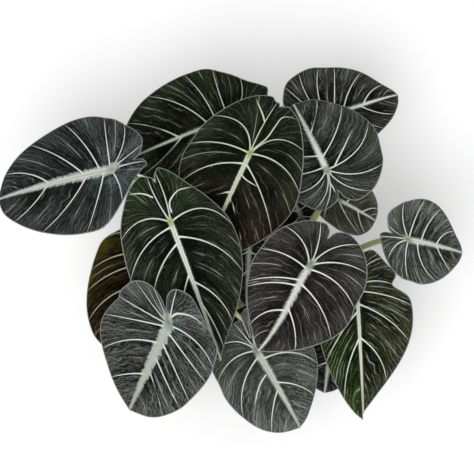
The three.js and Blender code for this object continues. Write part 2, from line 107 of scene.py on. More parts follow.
def maths(operation, *values):
    return addNode("ShaderNodeMath", dict(enumerate(values)), operation=operation)


def greatest(first, *others):
    for other in others:
        first = maths("MAXIMUM", first, other)
    return first


def fade(value, low, high, atLow=0.0, atHigh=1.0, shape="SMOOTHSTEP"):  # a soft step from low to high
    inputs = {"Value": value, "From Min": low, "From Max": high, "To Min": atLow, "To Max": atHigh}
    return addNode("ShaderNodeMapRange", inputs, interpolation_type=shape)


def ramp(value, low, high):  # an even step
    return fade(value, low, high, shape="LINEAR")


def blend(share, first, second):  # of two tones, each a value or a screen tone
    tones = [tone if isinstance(tone, Value) else screenTone(tone) for tone in (first, second)]
    return addNode("ShaderNodeMix", {0: share, 6: tones[0], 7: tones[1]}, 2, data_type="RGBA")


def vectorMaths(operation, *values, output=0, **more):
    return addNode("ShaderNodeVectorMath", {**dict(enumerate(values)), **more}, output, operation=operation)


def stretched(vector, x, y, z=1.0):
    return vectorMaths("MULTIPLY", vector, (x, y, z))


def split(vector):
    made = addNode("ShaderNodeSeparateXYZ", {0: vector})
    return [made.output(axis) for axis in "XYZ"]


def join(x, y, z=0.0):
    return addNode("ShaderNodeCombineXYZ", {0: x, 1: y, 2: z})


def attribute(tree, name, output="Vector"):
    return addNode("ShaderNodeAttribute", {}, output, tree, attribute_name=name)


def cloud(vector, scale, detail=2.0, roughness=0.5, seed=0.0):
    inputs = {"Vector": vector, "W": seed, "Scale": scale, "Detail": detail, "Roughness": roughness}
    return addNode("ShaderNodeTexNoise", inputs, "Fac", noise_dimensions="4D")


def dotted(vector, scale):
    inputs = {"Vector": vector, "Scale": scale}
    return addNode("ShaderNodeTexVoronoi", inputs, "Distance", voronoi_dimensions="3D")


def paint(shader, colour, roughness, height, relief, strength, gloss):  # relief in mm for a height of 1
    bump = addNode("ShaderNodeBump", {"Height": height, "Distance": relief * mm, "Strength": strength})
    connect(shader, {"Base Color": colour, "Roughness": roughness, "Normal": bump,
                     "Specular IOR Level": gloss})


def newMaterial(name):
    material = bpy.data.materials.new(name)
    material.use_nodes = True
    tree = material.node_tree
    return material, tree, tree.nodes["Principled BSDF"]


def objectPlace(tree):
    return addNode("ShaderNodeTexCoord", {}, "Object", tree)


def meshFrom(build, name):
    mesh = bpy.data.meshes.new(name)
    build.to_mesh(mesh)
    build.free()
    return mesh


def addPiece(name, mesh, material=None):
    piece = bpy.data.objects.new(name, mesh)
    scene.collection.objects.link(piece)
    if material:
        mesh.materials.append(material)
    return piece


def settle(piece, slot, *nodes):  # ties a finished piece to the plant's one body
    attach(piece, "root")
    if nodes:
        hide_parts(*nodes)


def newTree(name, **wanted):  # a geometry node tree, and its inputs by name
    tree = bpy.data.node_groups.new(name, "GeometryNodeTree")
    for kind, labels in wanted.items():
        for label in labels.split():
            tree.interface.new_socket(name=label, in_out="INPUT", socket_type="NodeSocket" + kind)
    tree.interface.new_socket(name="result", in_out="OUTPUT", socket_type="NodeSocketGeometry")
    sockets = tree.nodes.new("NodeGroupInput").outputs
    return tree, SimpleNamespace(**{socket.name: Value(socket) for socket in sockets if socket.name})


def store(geometry, name, value, kind):
    inputs = {0: geometry, "Name": name, "Value": value}
    return addNode("GeometryNodeStoreNamedAttribute", inputs, data_type=kind, domain="POINT")


def finishTree(tree, geometry, material, isSmooth=True):
    geometry = addNode("GeometryNodeRealizeInstances", {0: geometry})
    geometry = addNode("GeometryNodeSetShadeSmooth", {0: geometry, "Shade Smooth": isSmooth})
    geometry = addNode("GeometryNodeSetMaterial", {0: geometry, "Material": material})
    connect(tree.nodes.new("NodeGroupOutput"), {0: geometry})
    return tree


def plainMesh(piece):  # the piece's mesh with its modifiers worked out
    graph = bpy.context.evaluated_depsgraph_get()
    mesh = bpy.data.meshes.new_from_object(piece.evaluated_get(graph), depsgraph=graph)
    piece.modifiers.clear()
    return mesh


def runTree(name, tree, source=None, **values):  # the tree's result as a plain mesh on a new piece
    carrier = addPiece("carrier", source or bpy.data.meshes.new("carrier"))
    modifier = carrier.modifiers.new("grow", "NODES")
    modifier.node_group = tree
    for item in tree.interface.items_tree:
        if item.in_out == "INPUT" and item.name in values:
            modifier[item.identifier] = values[item.name]
    mesh = plainMesh(carrier)
    bpy.data.objects.remove(carrier)
    mesh.name = name
    return addPiece(name, mesh)


def half(width, lobe, peak, full, blunt, *veins, nick=(0, 0)):
    return dict(width=width, lobe=lobe, peak=peak, full=full, blunt=blunt, veins=veins, nick=nick)


smallVeins = (0.18, 0, 0.1), (0.42, 0, 0.17), (0.62, 0.12, 0.1), (0.8, 0.41, 0.09)  # of hidden leaves

# at: where the petiole joins the blade. heading: which way the tip points, from +X towards +Y. pitch
# and droop: the lean at the joint and how much more it bends by the tip. foot: azimuth and tilt of the
# petiole's foot on the crown. via: a point the petiole bends towards. skew: how far the rear lobes turn
# to the left. sway: how far the midrib bows to the left. notch: the rear notch's share of the shorter
# lobe. Each half has its greatest width, the length of its rear lobe, where the lobe peaks, how full the
# lobe and how blunt the tip is, then each main vein: where it meets the margin and leaves the midrib, as
# shares, and how far it arches back. nick: place and depth of a dent in the margin. forks: branches that
# leave a main vein, as points along the blade from the joint and to its left.
leaves = {
    "01": dict(at=(-115.7, 55.2, 222), heading=187, pitch=14, droop=16, length=96.9, foot=(155, 54),
        skew=-0.23, notch=0.69,
        left=half(44.5, 27.9, 0.17, -0.92, 0.89, (0.161, 0, 0.03), (0.425, 0, 0.08), (0.561, 0.05, 0.03),
            (0.739, 0.19, 0.08), (0.868, 0.53, 0.07)),
        right=half(47.8, 26.6, 0.29, 0.32, 0.67, (0.163, 0, 0), (0.368, 0, 0.13), (0.461, 0, 0),
            (0.613, 0.08, 0.06), (0.752, 0.21, 0.05), (0.897, 0.51, 0.1))),
    "02": dict(at=(-26, 106, 200), heading=194.2, pitch=16, droop=16, length=97.9, foot=(121, 54),
        skew=-0.13,
        left=half(44, 36, 0.25, 0.4, 0.3, (0.221, 0, 0.08), (0.37, 0, 0.19), (0.552, 0.04, 0.13),
            (0.701, 0.2, 0.08), (0.853, 0.42, 0.04)),
        right=half(49.4, 33.5, 0.2, -0.44, 1.46, (0.074, 0, 0.08), (0.384, 0, 0.17), (0.479, 0.02, -0.01),
            (0.581, 0.12, 0.06), (0.737, 0.18, 0.08), (0.878, 0.45, 0.04))),
    "03": dict(at=(-12, 60, 243), heading=243.1, pitch=16, droop=18, length=83.6, foot=(108, 24), skew=0.11,
        notch=0.93,
        left=half(46.7, 43.7, 0.13, 0.7, 0.67, (0.388, 0, 0.26), (0.512, 0, 0.16), (0.703, 0.09, 0.06),
            (0.836, 0.42, -0.01)),
        right=half(45.9, 45.2, 0.21, 1.07, 0.08, (0.114, 0, -0.03), (0.409, 0, 0.25), (0.52, 0, 0.09),
            (0.681, 0.1, 0.12), (0.76, 0.37, 0.02)),
        forks=[[(-25.7, -3.2), (-30.3, -7.9), (-34, -12.6), (-38.7, -18.4)], [(-1.6, -0.4), (-7.9, 2),
            (-15.7, 4.7), (-25.5, 5.3), (-33.5, 5.9), (-37, 10.6), (-37.5, 17)], [(15.6, -0.6), (18, 4.3),
            (18.9, 9.3), (19.5, 16.2)]]),
    "04": dict(at=(-69, 3, 255), heading=292.1, pitch=20, droop=20, length=111.2, foot=(180, 24),
        left=half(42, 39.5, 0.15, 0.06, -0.31, (0.119, 0, -0.04), (0.531, 0, 0.25), (0.662, 0.1, 0.13),
            (0.811, 0.41, 0.12), (0.902, 0.55, 0.09)),
        right=half(41.2, 38, 0.24, 0.81, -0.11, (0.131, 0, -0.04), (0.458, 0, 0.22), (0.567, 0.03, 0.13),
            (0.685, 0.14, 0.12), (0.785, 0.35, 0.04)),
        forks=[[(-6.6, 3.1), (-11.7, 3.6), (-15.6, 6.3), (-19.2, 13), (-18.8, 19.1), (-17.9, 24.9)],
            [(-21, -5.8), (-24, -8.8), (-27, -13.8), (-29, -21.3)]]),
    "05": dict(at=(-69.1, -71.8, 250), heading=241.7, pitch=20, droop=16, length=69.5, foot=(228, 54),
        skew=-0.8, notch=0.45, via=(-86, -72, 205),
        left=half(41.4, 25.6, 0.57, 0.41, 1.44, (0.153, 0, 0.02), (0.533, 0, 0.12), (0.611, 0.06, 0.01),
            (0.725, 0.18, 0.01), (0.792, 0.34, 0), (0.888, 0.5, 0.01)),
        right=half(45.7, 19.3, 0.31, 0.8, -0.03, (0.15, 0, 0.03), (0.278, 0, -0.03), (0.447, 0, 0),
            (0.547, 0.02, 0.01), (0.698, 0.21, 0.11), (0.81, 0.56, 0.05)),
        forks=[[(-6, 3.7), (-8.8, 7.4), (-10.9, 12), (-12.9, 19.8), (-12.9, 25.2), (-11.8, 28.9),
            (-9.7, 32.2)]]),
    "06": dict(at=(-90, 6, 190), heading=247, pitch=18, droop=16, length=86.6, foot=(190, 54), skew=0.04,
        left=half(40, 30, 0.3, 0.5, 0.4, (0.128, 0, 0.07), (0.338, 0, 0.18), (0.501, 0, 0.14),
            (0.643, 0.14, 0.1), (0.784, 0.38, 0.09)),
        right=half(34.4, 24.2, 0.19, -0.81, 1.22, (0.209, 0, 0.07), (0.381, 0, 0.18), (0.485, 0, 0.2),
            (0.624, 0.07, 0.1), (0.711, 0.18, 0.08), (0.846, 0.39, 0.1))),
    "07": dict(at=(29.3, -36.4, 278), heading=236.1, pitch=14, droop=20, length=71.4, foot=(330, 24),
        sway=2.5, notch=0.73,
        left=half(43.1, 33, 0.31, 1.55, 0.07, (0.26, 0, 0.13), (0.374, 0, 0.11), (0.51, 0.04, 0.13),
            (0.675, 0.2, 0.11), (0.818, 0.46, 0.07)),
        right=half(37.5, 30.6, 0.21, 1.24, 0.2, (0.237, 0, 0.06), (0.383, 0.02, 0.15), (0.51, 0.05, 0.09),
            (0.658, 0.17, 0.06), (0.68, 0.23, 0.07), (0.835, 0.5, 0.15))),
    "08": dict(at=(40, 111, 180), heading=27.9, pitch=14, droop=16, length=84.2, foot=(88, 54),
        left=half(45.2, 18.9, 0.33, 0.92, 0.31, (0.172, 0, 0.05), (0.276, 0, 0.12), (0.403, 0.07, 0.03),
            (0.506, 0.08, 0.08), (0.609, 0.11, 0.09), (0.677, 0.21, 0.01), (0.788, 0.31, 0.06),
            (0.9, 0.55, 0.09)),
        right=half(31.7, 24, 0.34, 0.5, 0.65, (0.172, 0, 0.08), (0.354, 0, 0.18), (0.504, 0.03, 0.13),
            (0.729, 0.22, 0.01), (0.855, 0.51, 0.1))),
    "09": dict(at=(46.2, 60.6, 207), heading=110.5, pitch=10, droop=16, length=70.9, foot=(45, 24),
        skew=-0.08, notch=0.63, via=(50, 24, 192),
        left=half(44.7, 30.5, 0.37, 0.6, 0.3, (0.21, 0, 0.1), (0.271, 0, 0.13), (0.416, 0, 0.17),
            (0.553, 0.04, 0.11), (0.682, 0.19, 0.08), (0.859, 0.57, -0.06)),
        right=half(48.4, 32.2, 0.25, 1.11, 1.16, (0.275, 0, 0.15), (0.412, 0, 0.17), (0.638, 0, 0.16),
            (0.808, 0.15, 0.07), (0.924, 0.49, 0.03)),
        forks=[[(1.2, -7.4), (14, -20.7), (26, -31.7)], [(-11.5, 2.8), (-16.2, 2.6), (-21.2, 2.9)]]),
    "10": dict(at=(57, 49, 172), heading=337, pitch=16, droop=14, length=34.9, foot=(26, 54),
        left=half(24.1, 14, 0.4, 0.8, 1.64, (0.199, 0, 0.1), (0.455, 0, 0.16), (0.717, 0.19, 0.09),
            (0.936, 0.61, 0.09)),
        right=half(21.8, 17, 0.55, 0.8, 1.71, (0.215, 0, 0.1), (0.419, 0, 0.17), (0.831, 0, 0.06),
            (0.896, 0.51, 0.09))),
    "11": dict(at=(108, 10, 192), heading=354.2, pitch=16, droop=16, length=47.6, foot=(355, 54), skew=0.22,
        notch=0.73, via=(82, 22, 186),
        left=half(36, 18.3, 0.32, 0.42, 0.39, (0.131, 0, 0.24), (0.419, 0, 0.12), (0.568, 0, 0.05),
            (0.694, 0.21, 0.08), (0.85, 0.48, 0.14)),
        right=half(32.6, 22.8, 0.19, 1.4, 0.61, (0.22, 0, 0.03), (0.34, 0, 0.13), (0.483, 0, 0.09),
            (0.691, 0.15, 0.15), (0.838, 0.49, 0.07))),
    "12": dict(at=(67, -29, 203), heading=274.3, pitch=20, droop=20, length=105.4, foot=(324, 54),
        skew=0.05,
        left=half(40.7, 25.6, 0.3, -0.2, -0.57, (0.139, 0, 0.07), (0.318, 0, 0.17), (0.459, 0, 0.11),
            (0.531, 0.04, 0.06), (0.641, 0.13, 0.08), (0.786, 0.37, 0.13), nick=(0.463, 8.5)),
        right=half(30.8, 26, 0.3, 0.5, 0.37, (0.146, 0, 0.07), (0.338, 0, 0.18), (0.496, 0, 0.14),
            (0.693, 0.18, 0.05), (0.847, 0.37, 0.08))),
    "13": dict(at=(-7, -75, 188), heading=302.8, pitch=20, droop=18, length=69.6, foot=(262, 54),
        notch=0.95,
        left=half(38.9, 31, 0.28, 0.6, 0.48, (0.113, 0, 0.13), (0.351, 0, 0.26), (0.501, 0.03, 0.14),
            (0.664, 0.11, 0.16), (0.816, 0.4, 0.1)),
        right=half(38.1, 27.1, 0.36, 1.39, 1.19, (0.101, 0, 0), (0.35, 0, 0.22), (0.487, 0, 0.17),
            (0.7, 0.06, 0.14), (0.878, 0.47, 0.07)),
        forks=[[(18.9, -3.4), (21.9, -9.8), (26.8, -15.9), (35, -22.9)]]),
    "14": dict(at=(50, -64, 160), heading=262, pitch=22, droop=14, length=38, foot=(293, 54),
        left=half(20, 15, 0.34, 0.5, 1, (0.2, 0, 0.11), (0.5, 0, 0.14), (0.76, 0.34, 0.09)),
        right=half(20, 15, 0.34, 0.5, 1, (0.2, 0, 0.11), (0.5, 0, 0.14), (0.76, 0.34, 0.09))),
    "15": dict(at=(29, 49, 134), heading=108, pitch=12, droop=14, length=40, foot=(62, 54),
        left=half(20, 15, 0.4, 0.7, 0.8, *smallVeins),
        right=half(18, 9, 0.4, 0.4, 0.8, *smallVeins)),
    "16": dict(at=(-12, 8, 188), heading=267, pitch=14, droop=14, length=48, foot=(0, 0),
        left=half(16, 12, 0.34, 0.5, 0.9, *smallVeins),
        right=half(14, 12, 0.34, 0.5, 0.7, *smallVeins)),
}

bladePlan = dict(
    halfThickness=0.45,
    edgeHalfThickness=0.26,  # a blade thins towards its margin
    notch=0.8, notchBow=0.55,  # the notch's usual share of the shorter lobe
    valley=0.09, camber=0.15,  # how steeply the halves rise from the midrib, and how far they bend back
    quilt=1.1,  # how far it bulges between two veins
    ruffle=1.6,  # how far the margin waves
    nickWidth=0.026,
    seamGap=0.45,  # the first vein shows only this far from the rear seam
    leastArch=0.05,  # how far the columns ahead of the last vein arch at least
    mostArch=0.24,
    columns=10,  # least steps from one vein to the next
    columnShare=0.0125,  # greatest share of the margin that one step spans
    rows=26,  # steps from the midrib to the margin
    crowding=1.2,  # how much closer they lie beside the midrib
    groove=0.22, grooveHalf=0.9,  # how deep a vein lies in the upper face, and half its width
    veinRidge=0.5, veinHalf=0.8, veinTaper=0.35,  # how far it stands out of the underside
    ribRidge=1.1, ribHalf=1.7, ribTaper=0.3,
    edgeThins=3, edgeFade=4,  # how wide the thin edge is, and where veins start to fade out
)


def marginPoints(leaf, half):  # from the rear notch to the tip: along the blade, and outwards
    width, lobe, peak, full, blunt = (half[key] for key in ("width", "lobe", "peak", "full", "blunt"))
    length = leaf["length"]
    notch = leaf.get("notch", bladePlan["notch"]) * min(leaf["left"]["lobe"], leaf["right"]["lobe"])
    bow = mix(notch, lobe, bladePlan["notchBow"])
    inner = [(-notch, 0), (-bow, 0.15 * peak), (-0.96 * lobe, 0.5 * peak)]
    rear = [(1, 0, 0), (0.86, 0.18, 0.14), (0.58, 0.4, 0.2), (0.2, 0.7, 0.14)]
    front = [(0.1, 0.965, 0), (0.27, 1, 0), (0.43, 0.92, 0.03), (0.58, 0.76, 0.09), (0.72, 0.55, 0.17),
             (0.84, 0.33, 0.22), (0.94, 0.125, 0.2), (1, 0, 0)]
    outer = [(-share * lobe, mix(peak, 1, out + more * full)) for share, out, more in rear]
    outer += [(share * length, out + more * blunt) for share, out, more in front]
    return np.array(inner + outer) * (1, width)


def alongCurve(points, shares):  # a smooth curve through points, at shares of the way by point number
    padded = np.vstack([2 * points[0] - points[1], points, 2 * points[-1] - points[-2]])
    place = np.clip(shares, 0, 1) * (len(points) - 1)
    k = np.minimum(place.astype(int), len(points) - 2)
    t = (place - k)[:, None]
    before, here, after, beyond = (padded[k + i] for i in range(4))
    leave, arrive = (after - before) / 2, (beyond - here) / 2
    return (here + leave * t + (3 * (after - here) - 2 * leave - arrive) * t ** 2
            + (2 * (here - after) + leave + arrive) * t ** 3)


def bladePoints(leaf, along, across, lift):
    heading, pitch = math.radians(leaf["heading"]), math.radians(leaf["pitch"])
    forward = np.array([math.cos(heading), math.sin(heading), 0])
    leftwards = np.array([-math.sin(heading), math.cos(heading), 0])
    up = np.array([0, 0, 1.0])
    bend = math.radians(leaf["droop"]) / leaf["length"]
    slope = pitch + bend * along
    run = (np.sin(slope) - math.sin(pitch)) / bend
    fall = (math.cos(pitch) - np.cos(slope)) / bend
    share = np.clip(along / leaf["length"], 0, 1)
    skewed = (across + leaf.get("skew", 0) * np.maximum(0, -along)
              + 6.75 * leaf.get("sway", 0) * share ** 2 * (1 - share))
    normal = forward * np.sin(slope)[:, None] + up * np.cos(slope)[:, None]
    return (np.array(leaf["at"]) + forward * run[:, None] - up * fall[:, None]
            + leftwards * skewed[:, None] + normal * lift[:, None])


def bladePoint(leaf, along, across, lift):
    return Vector(bladePoints(leaf, *(np.array([float(v)]) for v in (along, across, lift)))[0])


def fromLine(points, line, low=0, high=1):  # the way from each step to each point, and where on it
    step = np.diff(line, axis=0)
    offset = points[:, None] - line[None, :-1]
    share = np.clip((offset * step).sum(2) / np.maximum((step ** 2).sum(1), 1e-12), low, high)
    return offset - share[..., None] * step, share


def lineGap(points, line):  # distance from each point to a line of points
    return np.sqrt((fromLine(points, line)[0] ** 2).sum(2)).min(1)


def strokePlaces(points, stroke):  # how far beside a stroke the points lie, and how far along it
    line = alongCurve(np.array(stroke, float), np.linspace(0, 1, 25))
    step = np.diff(line, axis=0)
    size = np.hypot(*step.T)
    low, high = np.zeros(len(step)), np.ones(len(step))
    low[0], high[-1] = -np.inf, np.inf  # the ends run on straight
    away, share = fromLine(points, line, low, high)
    nearest = (away ** 2).sum(2).argmin(1)
    row = np.arange(len(points))
    away, step = away[row, nearest], step[nearest]
    side = np.sign(step[:, 0] * away[:, 1] - step[:, 1] * away[:, 0])
    way = np.append(0, np.cumsum(size))[nearest] + share[row, nearest] * size[nearest]
    return side * np.hypot(*away.T), way / size.sum()


def halfColumns(leaf, half):
    # The columns over one half follow the veins, from the seam to the rear notch to the tip. Between two
    # veins they turn evenly from the aim of one to the aim of the next.
    margin = marginPoints(leaf, half)
    nickPlace, nickDepth = half["nick"]
    veins = np.array([(0, 0, 0), *half["veins"], (1, 1, 0)], float)
    last = len(veins) - 2

    def reachOf(end, start):
        target = alongCurve(margin, end)
        target[:, 1] -= nickDepth * np.exp(-((end - nickPlace) / bladePlan["nickWidth"]) ** 2)
        origin = start * leaf["length"]
        return target, origin, np.arctan2(target[:, 1], origin - target[:, 0])

    aims = np.maximum(0, reachOf(veins[:, 0], veins[:, 1])[2] - np.arctan(4 * veins[:, 2]))
    place = []
    for k in range(last + 1):
        steps = max(bladePlan["columns"], round((veins[k + 1, 0] - veins[k, 0]) / bladePlan["columnShare"]))
        place.append(k + (1 - np.cos(np.pi * np.arange(steps) / steps)) / 2)
    vein = np.append(np.concatenate(place), last + 1)
    k = np.minimum(vein.astype(int), last)
    share = vein - k
    end, start = (mix(veins[k, i], veins[k + 1, i], share) for i in (0, 1))
    target, origin, lean = reachOf(end, start)
    arch = np.tan(lean - mix(aims[k], aims[np.minimum(k + 1, last)], share)) / 4
    arch[k == last] = max(bladePlan["leastArch"], veins[last, 2])
    most = bladePlan["mostArch"] * target[:, 1] / np.maximum(1e-6, np.abs(origin - target[:, 0]))
    at = np.cumsum([0] + [len(part) for part in place])
    return vein, start, target, origin, np.minimum(arch, most), at


def halfBlade(leaf, side, stations):
    # One half as flat points: first the stations on the midrib, then each column from row 1 outwards, and
    # the faces between them. Columns and rows lie close together beside the veins and the midrib.
    half = leaf["left"] if side > 0 else leaf["right"]
    vein, start, target, origin, arch, at = halfColumns(leaf, half)
    spine, rows = len(stations), bladePlan["rows"]
    out = (np.arange(rows + 1) / rows) ** bladePlan["crowding"]
    bow = 4 * out * (1 - out) * arch[:, None]
    along = mix(origin[:, None], target[:, :1], out) - bow * target[:, 1:]
    across = target[:, 1:] * out + bow * (target[:, 0] - origin)[:, None]
    grid = np.stack([along, across], 2)

    rim = np.append(0, np.cumsum(np.hypot(*np.diff(target, axis=0).T)))
    order = start + np.arange(len(start)) * 1e-9  # always rising
    flat = np.vstack([np.stack([stations * leaf["length"], stations * 0], 1), grid[:, 1:].reshape(-1, 2)])
    reach = np.hypot(target[:, 0] - origin, target[:, 1])
    part = {key: np.append(np.interp(stations, order, way), np.repeat(way, rows))
            for key, way in (("vein", vein), ("rim", rim))}
    part["out"] = np.append(stations * 0, np.tile(out[1:], len(vein)))
    part["outMm"] = np.append(stations * 0, (reach[:, None] * out[1:]).ravel())

    mains = [grid[i] for i in at[1:-1]]
    mains[0] = mains[0][mains[0][:, 1] > bladePlan["seamGap"]]
    minors = [grid[(i + j) // 2] for i, j in zip(at[1:-1], at[2:])]
    for key, lines in (("veinGap", mains), ("minorGap", minors), ("edgeGap", [grid[:, -1]])):
        part[key] = np.min([lineGap(flat, line) for line in lines], 0)

    def index(column, row):
        return spine + column * rows + row - 1

    faces = []
    m = 0
    for i in range(len(vein) - 1):
        while m + 1 < spine and stations[m + 1] <= start[i + 1] + 1e-12:
            faces.append((m, m + 1, index(i, 1)))
            m += 1
        faces.append((m, index(i + 1, 1), index(i, 1)))
        for j in range(1, rows):
            faces.append((index(i, j), index(i + 1, j), index(i + 1, j + 1), index(i, j + 1)))
    edge = [index(i, rows) for i in range(len(vein))]
    return dict(part, width=half["width"], flat=flat, faces=faces, edge=edge)


def liftOf(leaf, part, isUnder):  # how far a face of the blade lies above its middle plane
    plan = bladePlan
    along, across = part["flat"].T
    vein, out, veinGap, edgeGap = (part[key] for key in ("vein", "out", "veinGap", "edgeGap"))
    share = across / part["width"]
    rise = plan["valley"] * across - plan["camber"] * part["width"] * share ** 2
    rise += plan["quilt"] * np.sin(np.pi * vein) ** 2 * np.sin(np.pi * out) ** 0.7
    rise += plan["ruffle"] * np.sin(2.3 * vein + 1.7 * leaf["length"]) * out ** 3 * np.minimum(1, 3 * share)
    fromEdge = smooth(0, plan["edgeFade"], edgeGap)
    rise -= plan["groove"] * np.exp(-(veinGap / plan["grooveHalf"]) ** 2) * fromEdge
    half = mix(plan["edgeHalfThickness"], plan["halfThickness"], smooth(0, plan["edgeThins"], edgeGap))
    if not isUnder:
        return rise + half
    taper = mix(1, plan["ribTaper"], np.clip(along / leaf["length"], 0, 1))
    ribGap = np.hypot(np.minimum(along, 0), across) / (plan["ribHalf"] * taper + 0.3)
    veinRidge = plan["veinRidge"] * mix(1, plan["veinTaper"], out)
    ridge = np.maximum(veinRidge * np.exp(-(veinGap / plan["veinHalf"]) ** 2),
                       plan["ribRidge"] * taper * np.exp(-ribGap ** 2))
    return rise - half - ridge * fromEdge


forkNames = ("firstFork", "secondFork", "thirdFork")


def makeBlade(name, leaf, material):
    stations = np.unique(np.concatenate([halfColumns(leaf, leaf[side])[1] for side in ("left", "right")]))
    stations = stations[np.append(True, np.diff(stations) > 1e-6)]
    halves = {side: halfBlade(leaf, side, stations) for side in (1, -1)}
    seam = len(stations) + bladePlan["rows"]  # the midrib and the line to the notch are in both halves
    for gap in ("veinGap", "minorGap", "edgeGap"):
        nearest = np.minimum(halves[1][gap][:seam], halves[-1][gap][:seam])
        for part in halves.values():
            part[gap][:seam] = nearest

    points, faces = [], []
    count = 0
    rims, starts, weld = {}, {}, {}
    forks = dict(zip(forkNames, leaf.get("forks", [])))
    values = {label: [] for label in ("flat", "place", "gaps", *forks)}
    for side, part in halves.items():
        flat = part["flat"] * (1, side)
        rim = part["rim"] + (0 if side > 0 else 400)  # far enough for the fine veins to differ
        for isUnder in (False, True):
            under = np.full(len(flat), float(isUnder))
            points.append(bladePoints(leaf, *flat.T, liftOf(leaf, part, isUnder)))
            values["flat"].append(np.column_stack([flat, under]))
            values["place"].append(np.column_stack([rim, part["outMm"], part["out"]]))
            values["gaps"].append(np.column_stack([part["veinGap"], part["minorGap"], part["edgeGap"]]))
            for label, stroke in forks.items():
                values[label].append(np.column_stack([*strokePlaces(flat, stroke), under]))
            turn = 1 if (side > 0) != isUnder else -1
            faces += [[count + i for i in face[::turn]] for face in part["faces"]]
            rims[isUnder] = [count + i for i in part["edge"]]
            starts[side, isUnder] = count
            # The halves meet at the seam, and the last column of each closes on the tip.
            left = starts[1, isUnder]
            end = count + len(part["vein"])
            weld.update({point: left + len(stations) - 1 for point in range(end - bladePlan["rows"], end)})
            if side < 0:
                weld.update({count + i: left + i for i in range(seam)})
            count = end
        top, bottom = rims[False], rims[True]
        for i in range(len(top) - 1):
            faces.append([top[i], top[i + 1], bottom[i + 1], bottom[i]][::side])

    mesh = bpy.data.meshes.new(name)
    mesh.from_pydata((np.concatenate(points) * mm).tolist(), [], faces)
    corners = np.zeros(len(mesh.loops), int)
    mesh.loops.foreach_get("vertex_index", corners)
    for label, parts in values.items():
        layer = mesh.attributes.new(label, "FLOAT_VECTOR", "CORNER")
        layer.data.foreach_set("vector", np.concatenate(parts)[corners].astype(np.float32).ravel())
    build = bmesh.new()
    build.from_mesh(mesh)
    build.verts.ensure_lookup_table()
    bmesh.ops.weld_verts(build, targetmap={build.verts[old]: build.verts[new] for old, new in weld.items()})
    for face in build.faces:
        face.smooth = True
    build.to_mesh(mesh)
    build.free()
    return addPiece(name, mesh, material)


# What the blades share, unless looks says otherwise for one of them. Tones are as on a screen, 0 to 255,
# and lengths are in millimetres.
velvet = dict(
    patchAt=(0.8, 0, 0.3),  # towards the tip, towards the left, and how much of the blade keeps ground
    net=0.4, netGap=4.6, netBend=8.5, netTone=(150, 155, 148),  # the fine veins: how clear, how far apart
    furrowReliefAndShade=0.5, furrowGap=3.2, furrowBend=11.0,  # the furrows in the velvet: how deep, and how dark with painted shade, how far apart
    grain=1.7, mottle=1.5, texture=1.6,  # how speckled and how clouded it is, and how much of it is dark
    jointSheen=0.0, jointSheenReach=28.0, jointSheenTone=(140, 158, 158),  # painted sheen: how much and how far the velvet is painted paler round the joint
    vein=(215, 220, 211), veinHalf=0.46, veinEnd=0.2, minor=0.4,  # main veins, and how clear minor ones are
    joint=(174, 188, 124), jointReach=5.0,
    rib=1.0, ribHalf=1.8, ribTip=0.45,  # how broad the midrib is, and half its width at the joint and tip
    dimmer=2, core=0.55, coreTone=(150, 160, 136),  # how much darker it is than the veins, its grey middle
    spikes=1.0, feather=1.7, haze=0.5,  # its ragged sides: how long they are, and how clear
    rimTone=(162, 167, 161), rimWidth=0.8, dotTone=(150, 152, 146), dotScale=0.55,
    undersideTone=(112, 104, 96), undersideDeep=(84, 84, 70), undersideVein=(158, 164, 128),
    roughness=0.7, relief=0.45, gloss=0.02, sheen=0.01, sheenRoughness=0.45, sheenTint=(0.86, 0.9, 0.87, 1),
)
